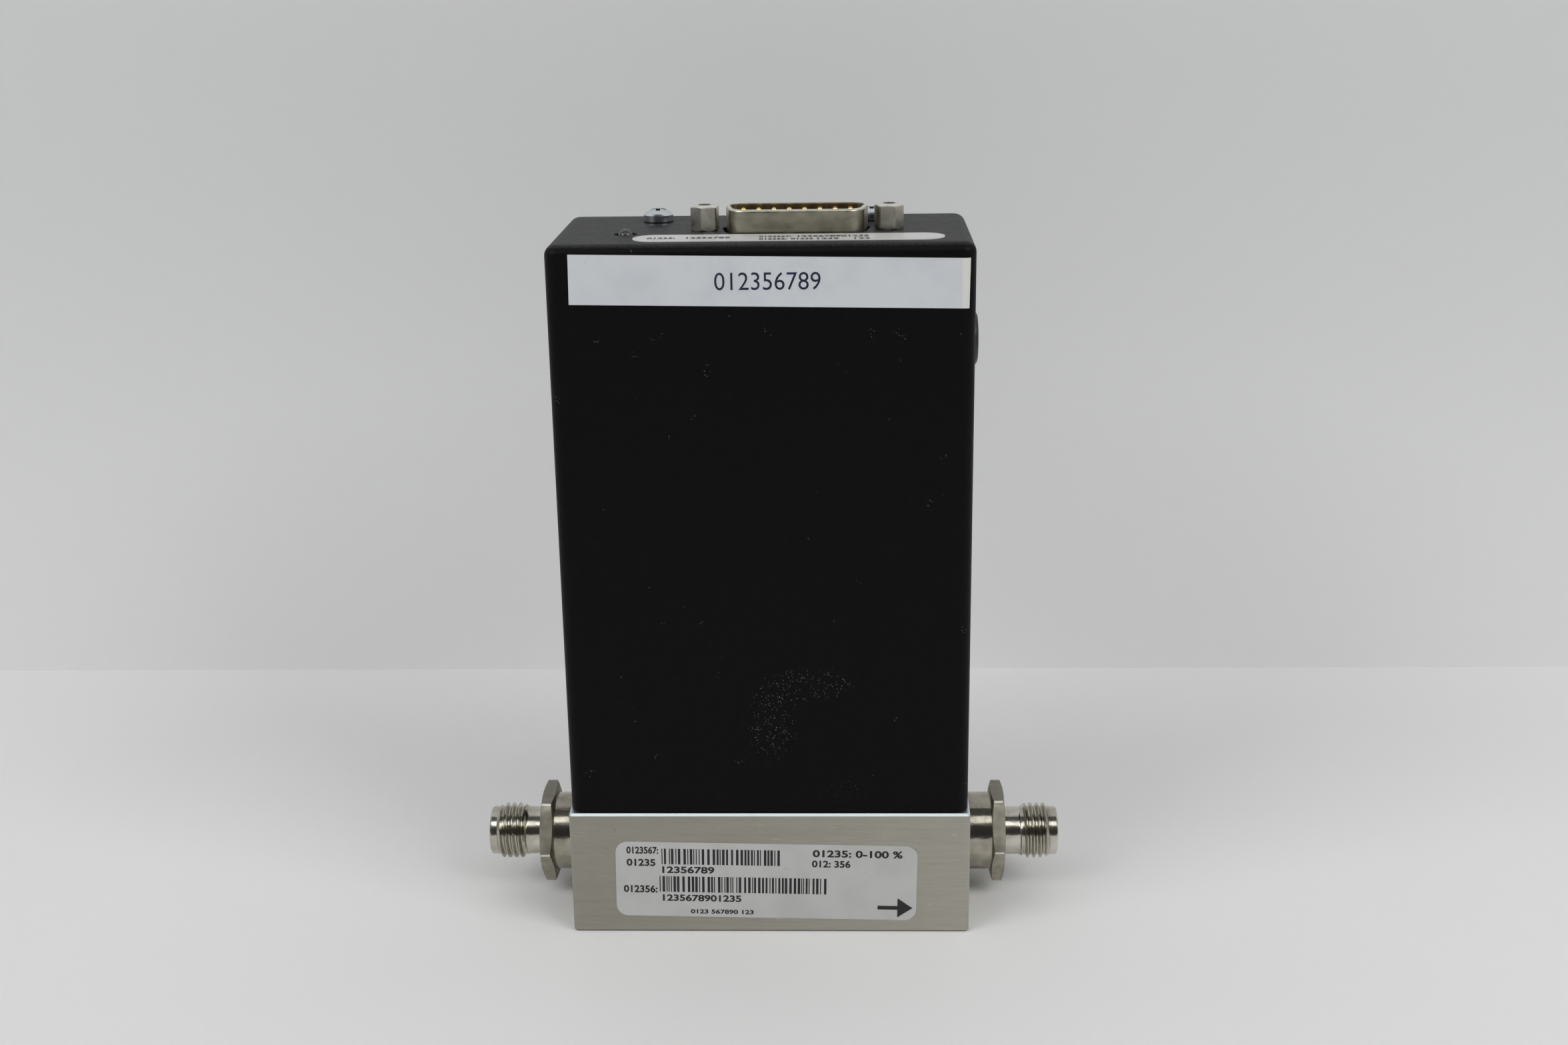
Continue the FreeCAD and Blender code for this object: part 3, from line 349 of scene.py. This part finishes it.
def helical_thread(bm, lead):
    """The thread's surface: the outline of one pitch, spun round and along, then cut off square
    and tapered at both ends."""
    flank = (thread_pitch - thread_crest_flat - thread_root_flat) / 2
    outline = [
        (0, thread_crest),
        (thread_crest_flat, thread_crest),
        (thread_crest_flat + flank, thread_root),
        (thread_crest_flat + flank + thread_root_flat, thread_root),
        (thread_pitch, thread_crest),
    ]
    first = thread_start - thread_pitch - lead
    turns = math.ceil((thread_end - first) / thread_pitch) + 1
    verts = [bm.verts.new((first + along, radius, 0)) for along, radius in outline]
    edges = [bm.edges.new(pair) for pair in zip(verts, verts[1:])]
    bmesh.ops.spin(
        bm, geom=verts + edges, cent=(0, 0, 0), axis=(1, 0, 0), angle=turns * math.tau,
        dvec=(thread_pitch / around, 0, 0), steps=turns * around,
        use_merge=False, use_duplicate=False,
    )
    bmesh.ops.remove_doubles(bm, verts=bm.verts, dist=thread_weld)
    for place, cleared in ((thread_start, "clear_inner"), (thread_end, "clear_outer")):
        geom = bm.verts[:] + bm.edges[:] + bm.faces[:]
        bmesh.ops.bisect_plane(
            bm, geom=geom, plane_co=(place, 0, 0), plane_no=(1, 0, 0), **{cleared: True}
        )
    for vert in bm.verts:
        from_start, from_end = vert.co.x - thread_start, thread_end - vert.co.x
        share = min(1.0, from_start / thread_runout, from_end / thread_chamfer)
        limit = thread_root + (thread_crest - thread_root) * share
        radius = math.hypot(vert.co.y, vert.co.z)
        vert.co.yz = vert.co.yz * (min(radius, limit) / radius)


def open_edges(bm, place):
    """The edges of the open end of a turned surface at a place along X."""
    return [
        e for e in bm.edges
        if e.is_boundary and all(abs(v.co.x - place) < closeness for v in e.verts)
    ]


def on_hexagon(angle, turn):
    """The angle and radius of a point of the hexagon. The two points on either side of a
    corner move to where they round it off."""
    sixth = math.pi / 3
    corner = round((angle - turn) / sixth) * sixth + turn
    beside = angle - corner
    steps_away = int(abs(beside) / (math.tau / around))
    if steps_away > 1:
        return angle, hex_half_flats / math.cos(sixth / 2 - abs(beside))
    bend = math.radians(hex_round_angles[steps_away])
    out = (hex_half_flats - hex_edge_round) / math.cos(sixth / 2) + hex_edge_round * math.cos(bend)
    sideways = hex_edge_round * math.sin(bend)
    return corner + math.copysign(math.atan2(sideways, out), beside), math.hypot(sideways, out)


def turned_on(bm, edges, stations, hex_turn=None):
    """Carries an open end on through stations, each a place along X and a radius. With a turn
    it makes a hexagon instead: each station is then its flats' place along X, and how far X
    changes from there for each millimetre outwards."""
    for along, measure in stations:
        made = bmesh.ops.extrude_edge_only(bm, edges=edges)["geom"]
        for vert in (g for g in made if isinstance(g, bmesh.types.BMVert)):
            angle = math.atan2(vert.co.z, vert.co.y)
            if hex_turn is None:
                x, radius = along, measure
            else:
                angle, radius = on_hexagon(angle, hex_turn)
                x = along + measure * (radius - hex_half_flats)
            vert.co = (x, radius * math.cos(angle), radius * math.sin(angle))
        edges = [g for g in made if isinstance(g, bmesh.types.BMEdge) and g.is_boundary]
    return edges


def tube_fitting(name, hex_turn, thread_lead, matrix):
    """One fitting, made along X from the block's face and then set in its place."""
    bm = bmesh.new()
    helical_thread(bm, thread_lead)
    half_step = math.pi / around
    circle = bmesh.ops.create_circle(
        bm, segments=around, radius=shank_radius,
        matrix=Matrix.Translation((thread_start - shank_neck, 0, 0))
        @ Matrix.Rotation(hex_turn + half_step, 4, "X")
        @ Matrix.Rotation(math.pi / 2, 4, "Y"),
    )["verts"]
    shank_end = list(dict.fromkeys(e for v in circle for e in v.link_edges))
    hex_rim = hex_half_flats - hex_lip
    hex_face = turned_on(bm, shank_end, [(hex_end, shank_radius), (hex_end, hex_rim)])
    hex_back = turned_on(
        bm, hex_face, [(hex_end - hex_lip, -hex_bevel), (hex_start + hex_lip, hex_bevel)], hex_turn
    )
    nose_end = turned_on(bm, hex_back, [
        (hex_start, hex_rim),
        (hex_start, boss_radius),
        (boss_edge, boss_radius),
        (0, boss_radius - boss_edge),
        (0, spigot_radius),
        (-spigot_length, spigot_radius),
        (-spigot_length, bore_radius),
        (tip - socket_depth, bore_radius),
        (tip - socket_depth, socket_radius),
        (tip - cone_depth, socket_radius),
        (tip - mouth_edge, mouth_radius),
        (tip, mouth_radius + mouth_edge),
        (tip, nose_radius - nose_edge),
        (tip - nose_round_along, nose_radius - nose_round_in),
        (tip - nose_edge, nose_radius),
        (thread_end + shank_neck, nose_radius),
    ])
    shank_end = list(dict.fromkeys(e for v in circle for e in v.link_edges if e.is_boundary))
    bmesh.ops.bridge_loops(bm, edges=shank_end + open_edges(bm, thread_start))
    bmesh.ops.bridge_loops(bm, edges=nose_end + open_edges(bm, thread_end))
    bmesh.ops.remove_doubles(bm, verts=bm.verts, dist=weld)
    bmesh.ops.recalc_face_normals(bm, faces=bm.faces)
    for face in bm.faces:
        middle = face.calc_center_median()
        level = hex_start - closeness < middle.x < hex_end + closeness
        face.material_index = int(level and math.hypot(middle.y, middle.z) > shank_radius)
    bmesh.ops.transform(bm, matrix=matrix, verts=bm.verts)
    made = new_object(name, bm, turned_steel, dull_steel)
    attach(made, "root")
    return made


boss_colour_end = hex_start + 1.0
turned_steel = Finish("turned_steel", Metallic=1.0)
rings = turned_steel.noise(1.0, 3.0, stretch=(6000, 150, 150))
dents = turned_steel.noise(900.0, 2.0)
stain = turned_steel.noise(260.0, 3.0)
stained = stain.between(0.3, 0.75)
from_middle = turned_steel.part("X")
along = from_middle.maths("ABSOLUTE", from_middle) * 1000 - end_face
nose_colour = turned_steel.mix(stained, (0.69, 0.67, 0.60), (0.46, 0.44, 0.37))
boss_colour = turned_steel.mix(stained, (0.47, 0.445, 0.375), (0.28, 0.26, 0.205))
# Painted shade: the thread is painted darker, for the shade in its grooves.
thread_groove_shade = (along > thread_start) * (along < thread_end)
nose_colour = turned_steel.mix(thread_groove_shade * 0.4, nose_colour, (0.28, 0.265, 0.21))
turned_steel.feed(
    Base_Color=turned_steel.mix(along > boss_colour_end, boss_colour, nose_colour),
    Roughness=0.10 + rings * 0.07 + stain * 0.07,
)
turned_steel.relief(rings * 0.3 + dents * 0.7, 0.05 * mm)

top_flat_low, top_flat_high = flow_height + 7.9, flow_height + 8.3
corner_highlight_low, corner_highlight_high = 9.91, 9.97
dull_steel = Finish("dull_steel", Metallic=1.0)
pits = dull_steel.noise(6500.0, 3.0)
worn = dull_steel.noise(500.0, 2.0)
# Painted shade: the hexagon's top flat is painted darker.
top_flat_shade = dull_steel.part("Z").between(top_flat_low * mm, top_flat_high * mm)
inward, upward = dull_steel.part("Y"), dull_steel.part("Z") - flow_height * mm
radius_squared = inward * inward + upward * upward
# Painted highlight: the rounded corners are painted pale where they catch the light. They are also
# worn smoother, so they are less rough.
corner_wear_and_highlight = radius_squared.between((corner_highlight_low * mm) ** 2, (corner_highlight_high * mm) ** 2)
hexagon_colour = dull_steel.mix(worn.between(0.3, 0.7), (0.35, 0.33, 0.265), (0.46, 0.44, 0.37))
hexagon_colour = dull_steel.mix(top_flat_shade * 0.6, hexagon_colour, (0.20, 0.19, 0.16))
dull_steel.feed(
    Base_Color=dull_steel.mix(corner_wear_and_highlight, hexagon_colour, (0.86, 0.84, 0.77)),
    Roughness=0.34 + pits * 0.2 - corner_wear_and_highlight * 0.12,
)
dull_steel.relief(pits, 0.012 * mm)

seat = Matrix.Translation((end_face * mm, 0, flow_height * mm)) @ Matrix.Scale(mm, 4)
half_turn = Matrix.Rotation(math.pi, 4, "Z")
outlet = tube_fitting("outlet_tube_fitting", outlet_hex_turn, outlet_thread_lead, seat)
inlet = tube_fitting("inlet_tube_fitting", inlet_hex_turn, inlet_thread_lead, half_turn @ seat)
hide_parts("outlet_fitting")
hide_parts("inlet_fitting")

seal_rubber = Finish("seal_rubber", Roughness=0.55)
bloom = seal_rubber.noise(800.0, 3.0)
seal_rubber.feed(Base_Color=seal_rubber.mix(bloom, (0.012, 0.012, 0.013), (0.03, 0.03, 0.032)))
seal_rubber.relief(bloom, 0.01 * mm)
dress(seal_rubber, "inlet_seal", "outlet_seal", "tap_seals")


# Sensor and flow element. Inside the block a slotted steel plug evens out the flow, and on
# top of it a fine steel tube with two windings measures a small share of it, under an
# aluminium can that four screws hold down.
def plain_metal(name, dark, light, roughness, per_metre=900.0):
    """A machined metal, a little uneven in colour and shine."""
    finish = Finish(name, Metallic=1.0)
    marks = finish.noise(per_metre, 3.0)
    finish.feed(Base_Color=finish.mix(marks, dark, light), Roughness=roughness + marks * 0.12)
    finish.relief(marks, 0.004 * mm)
    return finish


def plain_moulding(name, dark, light, roughness, per_metre=1500.0):
    """A moulded plastic, or another dull material, with a fine grain."""
    finish = Finish(name)
    grain = finish.noise(per_metre, 3.0)
    finish.feed(Base_Color=finish.mix(grain, dark, light), Roughness=roughness + grain * 0.1)
    finish.relief(grain, 0.01 * mm)
    return finish


machined_steel = plain_metal("machined_steel", (0.48, 0.47, 0.44), (0.60, 0.59, 0.56), 0.25)
spring_steel = plain_metal("spring_steel", (0.20, 0.20, 0.21), (0.34, 0.34, 0.35), 0.3)
machined_aluminium = plain_metal("machined_aluminium", (0.70, 0.70, 0.71), (0.82, 0.82, 0.83), 0.3)
winding_wire = plain_metal("winding_wire", (0.42, 0.16, 0.06), (0.70, 0.33, 0.14), 0.3, 6000.0)
socket_screw_steel = plain_metal("socket_screw_steel", (0.36, 0.36, 0.37), (0.50, 0.50, 0.51), 0.25)
amber_film = plain_moulding("amber_film", (0.50, 0.24, 0.03), (0.66, 0.36, 0.06), 0.3)
dress(machined_steel, "flow_element", "sensor_base", "sensor_tube")
dress(spring_steel, "element_clip")
dress(winding_wire, "sensor_windings")
dress(machined_aluminium, "sensor_can")
dress(socket_screw_steel, "sensor_screws", "frame_screws", "board_screws")
dress(amber_film, "sensor_ribbon")


# Frame and boards. A folded aluminium sheet stands on the block and carries the main circuit
# board on standoffs, and pins join that board to the one under the connector. The sheet's
# upper flange takes the cover's screws in two pressed nuts.
mill_sheet = plain_metal("mill_sheet", (0.62, 0.63, 0.64), (0.74, 0.75, 0.76), 0.35)
zinc_plate = plain_metal("zinc_plate", (0.52, 0.54, 0.58), (0.72, 0.74, 0.77), 0.22)
board_mask = plain_moulding("board_mask", (0.010, 0.10, 0.035), (0.022, 0.17, 0.065), 0.3)
chip_black = plain_moulding("chip_black", (0.012, 0.012, 0.012), (0.03, 0.03, 0.03), 0.5)
drawn_can = plain_metal("drawn_can", (0.66, 0.66, 0.68), (0.78, 0.78, 0.80), 0.2)
natural_nylon = plain_moulding("natural_nylon", (0.70, 0.67, 0.58), (0.82, 0.80, 0.73), 0.45)
trimmer_blue = plain_moulding("trimmer_blue", (0.02, 0.09, 0.40), (0.04, 0.15, 0.55), 0.35)
header_black = plain_moulding("header_black", (0.014, 0.014, 0.014), (0.03, 0.03, 0.03), 0.45)
gold_plate = plain_metal("gold_plate", (0.80, 0.55, 0.20), (0.95, 0.72, 0.32), 0.12)
dress(mill_sheet, "frame")
dress(zinc_plate, "flange_nuts", "standoffs", "jack_nuts", "led_leads")
dress(board_mask, "main_board", "connector_board")
dress(chip_black, "board_chips")
dress(drawn_can, "board_capacitors")
dress(natural_nylon, "ribbon_plug", "led_spacer")
dress(trimmer_blue, "zero_trimmer")
dress(header_black, "link_header")
dress(gold_plate, "link_pins", "connector_pins")


# Connector. Fifteen gold plated pins in a black insulator, inside a drawn steel shell that is
# tin plated: satin, blotchy and a little yellow. Two nickel plated jackscrews hold it.
rim_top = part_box("connector_shell")[1].z
rim_highlight_low, rim_highlight_high = 0.28, 0.10
insulator_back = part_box("connector_insulator")[1].y
far_wall_before, far_wall_past = 0.30, 0.15
tin_plate = Finish("tin_plate", Metallic=1.0)
blotch = tin_plate.noise(420.0, 3.0, stretch=(1, 1, 1.6))
cloud = tin_plate.noise(120.0, 2.0)
skin = tin_plate.noise(2600.0, 3.0)
depth = tin_plate.part("Y")
# Painted shade: the far wall inside the shell is painted dark brown, for the shade inside it.
far_wall_shade = (depth > insulator_back - far_wall_before * mm) * (
    depth < insulator_back + far_wall_past * mm
)
height = tin_plate.part("Z")
# Painted highlight: a pale band along the top of the rim.
rim_highlight = height.between(rim_top - rim_highlight_low * mm, rim_top - rim_highlight_high * mm)
blotches = (blotch * 0.6 + cloud * 0.4).between(0.3, 0.7)
tin_colour = tin_plate.mix(blotches, (0.30, 0.285, 0.215), (0.50, 0.475, 0.37))
tin_colour = tin_plate.mix(far_wall_shade, tin_colour, (0.24, 0.19, 0.13))
tin_plate.feed(
    Base_Color=tin_plate.mix(rim_highlight, tin_colour, (0.84, 0.82, 0.72)),
    Roughness=0.18 + blotch * 0.30,
)
tin_plate.relief(skin * 0.2 + blotch * 0.8, 0.030 * mm)
dress(tin_plate, "connector_shell", "connector_rear_shell")

jack_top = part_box("jackscrews")[1].z
jack_highlight_low, jack_highlight_high = 0.50, 0.25
nickel_plate = Finish("nickel_plate", Metallic=1.0)
haze = nickel_plate.noise(420.0, 3.0)
peel = nickel_plate.noise(3000.0, 2.0)
height = nickel_plate.part("Z")
# Painted highlight: a pale band round the top of the jackscrews.
jack_top_highlight = height.between(jack_top - jack_highlight_low * mm, jack_top - jack_highlight_high * mm)
nickel_colour = nickel_plate.mix(haze.between(0.3, 0.7), (0.38, 0.365, 0.315), (0.56, 0.54, 0.48))
nickel_plate.feed(
    Base_Color=nickel_plate.mix(jack_top_highlight, nickel_colour, (0.88, 0.86, 0.80)),
    Roughness=0.2 + haze * 0.16,
)
nickel_plate.relief(peel * 0.4 + haze * 0.6, 0.005 * mm)
dress(nickel_plate, "jackscrews")

insulator_black = plain_moulding(
    "insulator_black", (0.010, 0.010, 0.010), (0.022, 0.021, 0.020), 0.4
)
dress(insulator_black, "connector_insulator")


# Status light. A clear moulded lens that stands in a hole in the cover's top, over a small
# metal cup on one of its two wires.
clear_lens = Finish("clear_lens", Transmission_Weight=0.95, IOR=1.53, Specular_IOR_Level=0.5)
flow_marks = clear_lens.noise(700.0, 2.0)
clear_lens.feed(Base_Color=(0.93, 0.95, 0.93), Roughness=0.03 + flow_marks * 0.05)
dress(clear_lens, "status_led")


# Cover. One drawn can, coated with a fine matt black powder. It has a few specks of dust and
# a dusty patch low in the middle of its front and of its back. Its top face is painted paler,
# a painted sheen of the light from above. A black nylon plug closes the hole in its outlet side.
cover_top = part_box("cover")[1].z
top_edge_depth = 0.8
cells_per_metre, speck_size, speck_edge = 2300.0, 0.13, 0.26
powder_coat = Finish("powder_coat", Specular_IOR_Level=0.10)
powder = powder_coat.noise(3600.0, 2.0)
peel = powder_coat.noise(1300.0, 2.0)
mottle = powder_coat.noise(300.0, 3.0)
cells = powder_coat.node(
    "ShaderNodeTexVoronoi", {"feature": "F1"},
    {"Vector": powder_coat.place, "Scale": cells_per_metre}, "Distance",
)
specks = 1 - cells.between(speck_size, speck_edge)


def dusty(x, z, reach_x, reach_z):
    """1 in the middle of an oval patch of the front and back, and 0 beyond its edge."""
    def vector(operation, first, second=(0, 0, 0), output="Vector"):
        settings, inputs = {"operation": operation}, {0: first, 1: second}
        return powder_coat.node("ShaderNodeVectorMath", settings, inputs, output)

    place = vector("SUBTRACT", powder_coat.place, (x * mm, 0, z * mm))
    spread = vector("MULTIPLY", place, (1 / (reach_x * mm), 0, 1 / (reach_z * mm)))
    return 1 - vector("LENGTH", spread, output="Value").between(0.35, 1.0)


patches = (
    dusty(8, 51, 13, 5)
    + dusty(0.5, 43, 7, 11)
    + dusty(15, 30, 7, 4) * 0.5
    + dusty(-8, 60, 7, 9) * 0.3
)
scatter = powder_coat.noise(700.0, 1.0)
few = powder_coat.noise(260.0, 1.0).between(0.70, 0.74)
in_patches = (scatter + patches * 0.22).between(0.50, 0.78) * patches.between(0.0, 0.8)
dust = (specks * (in_patches + few)).between(0.0, 1.4)
top_face = powder_coat.part("Z").between(cover_top - top_edge_depth * mm, cover_top)
# Painted light: the top face is painted paler and grainy, as the sheen of the light from above.
top_sheen = top_face * (0.35 + powder.between(0.35, 0.65) * 1.1)
lumps = powder * 0.6 + peel * 0.4
coat_colour = powder_coat.mix(lumps, (0.0010, 0.0010, 0.0011), (0.0036, 0.0036, 0.0038))
coat_colour = powder_coat.mix(top_sheen, coat_colour, (0.034, 0.035, 0.036))
powder_coat.feed(
    Base_Color=powder_coat.mix(dust, coat_colour, (0.20, 0.195, 0.18)),
    Roughness=0.34 + peel * 0.10 + mottle * 0.10,
)
powder_coat.relief(lumps, 0.040 * mm)
dress(powder_coat, "cover")

plug_nylon = plain_moulding("plug_nylon", (0.008, 0.008, 0.008), (0.016, 0.016, 0.016), 0.35)
dress(plug_nylon, "hole_plug")


# Cover screws. Two pan head screws, bright zinc plated, with a slightly blue shine. The foot of
# their heads is painted dark, a painted shadow where the heads meet the cover.
foot_shade_low, foot_shade_high = 0.08, 0.40
bright_zinc = Finish("bright_zinc", Metallic=1.0)
zinc_skin = bright_zinc.noise(900.0, 3.0)
height = bright_zinc.part("Z")
# Painted shadow: the foot of each head is painted dark.
foot_shade = 1 - height.between(cover_top + foot_shade_low * mm, cover_top + foot_shade_high * mm)
zinc_colour = bright_zinc.mix(zinc_skin, (0.64, 0.68, 0.72), (0.80, 0.84, 0.88))
bright_zinc.feed(
    Base_Color=bright_zinc.mix(foot_shade, zinc_colour, (0.035, 0.038, 0.04)),
    Roughness=0.08 + zinc_skin * 0.07,
)
bright_zinc.relief(zinc_skin, 0.01 * mm)
dress(bright_zinc, "cover_screws")


# Labels. Three white labels of printed film and paper tape: a strip round the front of the
# cover, a plate on the block, and a narrow one on the cover's top. What they carry is
# generic: plain figures and signs, bars and an arrow.
tape_fold, fold_width = 35.1, 0.2


def label_stock(name, dark, light, roughness, fold=None):
    """White film or paper, with faint smudges and a speck here and there. Past a fold, so
    many millimetres to the right of the meter's middle, it is painted paler: painted light on
    the end that turns round the corner."""
    finish = Finish(name)
    smudge = finish.noise(140.0, 3.0)
    fibre = finish.noise(2500.0, 2.0)
    spots = finish.noise(1500.0, 1.0).between(0.79, 0.82)
    paper = finish.mix(smudge.between(0.35, 0.75), light, dark)
    if fold:
        # Painted light: past the fold the tape is painted paler.
        fold_light = finish.part("X").between(fold * mm, (fold + fold_width) * mm)
        paper = finish.mix(fold_light, paper, (0.69, 0.69, 0.66))
    finish.feed(Base_Color=finish.mix(spots * 0.6, paper, (0.12, 0.11, 0.10)), Roughness=roughness)
    finish.relief(fibre, 0.004 * mm)
    return finish


label_film = label_stock("label_film", (0.49, 0.49, 0.48), (0.54, 0.54, 0.535), 0.35)
bright_film = label_stock("bright_film", (0.57, 0.57, 0.56), (0.63, 0.63, 0.625), 0.35)
label_paper = label_stock("label_paper", (0.57, 0.59, 0.62), (0.62, 0.64, 0.67), 0.45, tape_fold)
dress(label_paper, "front_tape")

film_depth, ink_depth = 0.098, 0.02
thinnest_bar = 0.19
bar_widths, gap_widths = (1, 1, 2, 2.5), (1, 1.5, 2, 3)
tape_weight, rating_weight, top_weight = -0.003, 0.03, 0.028
rating_half_length, rating_half_height, rating_corner = 28.8, 7.85, 2.3
rating_turn = math.radians(-1.0)
top_corner = 3.6


def ink(name, shade):
    """Printing ink, not quite even."""
    finish = Finish(name, Specular_IOR_Level=0.3)
    wear = finish.noise(1500.0, 3.0)
    worn_shade = [min(1.0, part * 1.8 + 0.01) for part in shade]
    finish.feed(Base_Color=finish.mix(wear, shade, worn_shade), Roughness=0.5)
    return finish


def add_figures(bm, text, left, right, low, high, weight):
    """Adds a line of plain figures to a print, fitted between four edges in millimetres. The
    weight thickens its strokes."""
    half_thick = 0.5
    curve = bpy.data.curves.new("figures", "FONT")
    curve.body = text
    curve.extrude = half_thick
    curve.offset = weight
    curve.resolution_u = 4
    writing = bpy.data.objects.new("figures", curve)
    scene.collection.objects.link(writing)
    depsgraph = bpy.context.evaluated_depsgraph_get()
    mesh = bpy.data.meshes.new_from_object(writing.evaluated_get(depsgraph))
    bpy.data.objects.remove(writing)
    xs, ys, _ = zip(*(v.co for v in mesh.vertices))
    width, height = max(xs) - min(xs), max(ys) - min(ys)
    to_corner = Matrix.Translation((-min(xs), -min(ys), half_thick))
    fit = Matrix.Diagonal(((right - left) / width, (high - low) / height, ink_depth, 1))
    mesh.transform(Matrix.Translation((left, low, 0)) @ fit @ to_corner)
    bm.from_mesh(mesh)


def add_bar(bm, left, right, low, high):
    """Adds one plain rectangle of ink."""
    middle = ((left + right) / 2, (low + high) / 2, ink_depth / 2)
    size = Matrix.Diagonal((right - left, high - low, ink_depth, 1))
    bmesh.ops.create_cube(bm, size=1.0, matrix=Matrix.Translation(middle) @ size)


def add_bars(bm, left, right, low, high, seed):
    """Adds a row of plain upright bars of uneven width."""
    chance = random.Random(seed)
    place = left
    while place < right - 2 * thinnest_bar:
        width = thinnest_bar * chance.choice(bar_widths)
        add_bar(bm, place, min(place + width, right), low, high)
        place += width + thinnest_bar * chance.choice(gap_widths)


def print_on(name, bm, finish, matrix):
    """Sets a print, drawn in millimetres with X to the right and Y up, on its label."""
    bmesh.ops.remove_doubles(bm, verts=bm.verts, dist=weld)
    bmesh.ops.recalc_face_normals(bm, faces=bm.faces)
    bmesh.ops.transform(bm, matrix=matrix @ Matrix.Scale(mm, 4), verts=bm.verts)
    made = new_object(name, bm, finish)
    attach(made, "root")


facing_front = Matrix.Rotation(math.pi / 2, 4, "X")
navy_ink = ink("navy_ink", (0.008, 0.008, 0.028))
black_ink = ink("black_ink", (0.012, 0.012, 0.012))

# A line of figures is its text with its left, right, low and high edges in millimetres, and
# a row of bars is its four edges and the seed of its bars.
tape_line = ("012356789", -7.9, 10.6, 125.05, 128.15)
tape_print = bmesh.new()
add_figures(tape_print, *tape_line, tape_weight)
tape_place = Matrix.Translation((0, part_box("front_tape")[0].y, 0)) @ facing_front
print_on("tape_figures", tape_print, navy_ink, tape_place)


def label_plate(name, node, film, half_length, half_height, corner, thickness, place):
    """A label with round corners, lying on a face of the meter, in place of a plainer one."""
    bm = bmesh.new()
    size = Matrix.Diagonal((2 * half_length, 2 * half_height, thickness, 1))
    bmesh.ops.create_cube(bm, size=1.0, matrix=Matrix.Translation((0, 0, thickness / 2)) @ size)
    upright = [e for e in bm.edges if abs(e.verts[0].co.z - e.verts[1].co.z) > thickness / 2]
    bmesh.ops.bevel(
        bm, geom=upright, offset=corner, offset_type="OFFSET", segments=10, profile=0.5,
        affect="EDGES", material=-1,
    )
    bmesh.ops.transform(bm, matrix=place @ Matrix.Scale(mm, 4), verts=bm.verts)
    made = new_object(name, bm, film)
    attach(made, "root")
    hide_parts(node)


rating_low, rating_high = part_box("rating_label")
rating_middle = (rating_low + rating_high) / 2
rating_place = (
    Matrix.Translation((rating_middle.x, rating_high.y, rating_middle.z))
    @ facing_front
    @ Matrix.Rotation(rating_turn, 4, "Z")
)
label_plate(
    "rating_plate", "rating_label", label_film,
    rating_half_length, rating_half_height, rating_corner, film_depth, rating_place,
)
top_low, top_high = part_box("top_label")
top_middle = (top_low + top_high) / 2
top_half = (top_high - top_low) / 2 / mm
top_place = Matrix.Translation((top_middle.x, top_middle.y, top_low.z))
label_plate(
    "top_plate", "top_label", bright_film,
    top_half.x, top_half.y, top_corner, film_depth, top_place,
)

rating_rows = [
    (-20.0, 2.77, 3.25, 6.53, 3),
    (-20.45, 11.6, -2.62, 0.7, 8),
]
rating_lines = [
    ("0123567:", -26.7, -20.6, 5.36, 6.9),
    ("01235", -26.7, -21.2, 2.78, 4.3),
    ("12356789", -19.9, -9.9, 1.34, 2.82),
    ("012356:", -27.35, -20.87, -2.86, -1.3),
    ("1235678901235", -19.87, -4.75, -4.6, -3.15),
    ("0123 567890 123", -14.5, -2.4, -7.2, -6.25),
    ("01235: 0-100 %", 8.87, 26.0, 5.24, 6.75),
    ("012: 356", 8.75, 16.1, 3.08, 4.58),
]
arrow = [
    (21.4, -5.65),
    (25.2, -5.65),
    (25.2, -7.3),
    (28.1, -5.25),
    (25.2, -3.2),
    (25.2, -4.85),
    (21.4, -4.85),
]
rating_print = bmesh.new()
for row in rating_rows:
    add_bars(rating_print, *row)
for line in rating_lines:
    add_figures(rating_print, *line, rating_weight)
arrow_face = rating_print.faces.new([rating_print.verts.new((x, y, 0)) for x, y in arrow])
raised = bmesh.ops.extrude_face_region(rating_print, geom=[arrow_face])["geom"]
raised_verts = [g for g in raised if isinstance(g, bmesh.types.BMVert)]
bmesh.ops.translate(rating_print, verts=raised_verts, vec=(0, 0, ink_depth))
print_on(
    "rating_figures", rating_print, black_ink,
    rating_place @ Matrix.Translation((0, 0, film_depth * mm)),
)

top_lines = [
    ("01235:", -20.1, -15.1, -12.4, -10.6),
    ("12356789", -13.15, -5.4, -12.3, -10.5),
    ("0123567:", -0.3, 5.4, -11.4, -9.7),
    ("1235678901235", 6.5, 19.1, -11.4, -9.6),
    ("012356:", -0.2, 4.7, -14.2, -12.4),
    ("01235", 5.4, 9.3, -14.2, -12.4),
    ("1235", 10.0, 13.8, -14.2, -12.4),
    ("123", 16.5, 19.2, -14.2, -12.4),
]
top_print = bmesh.new()
for line in top_lines:
    add_figures(top_print, *line, top_weight)
top_print_place = Matrix.Translation((0, 0, top_low.z + film_depth * mm))
print_on("top_figures", top_print, black_ink, top_print_place)
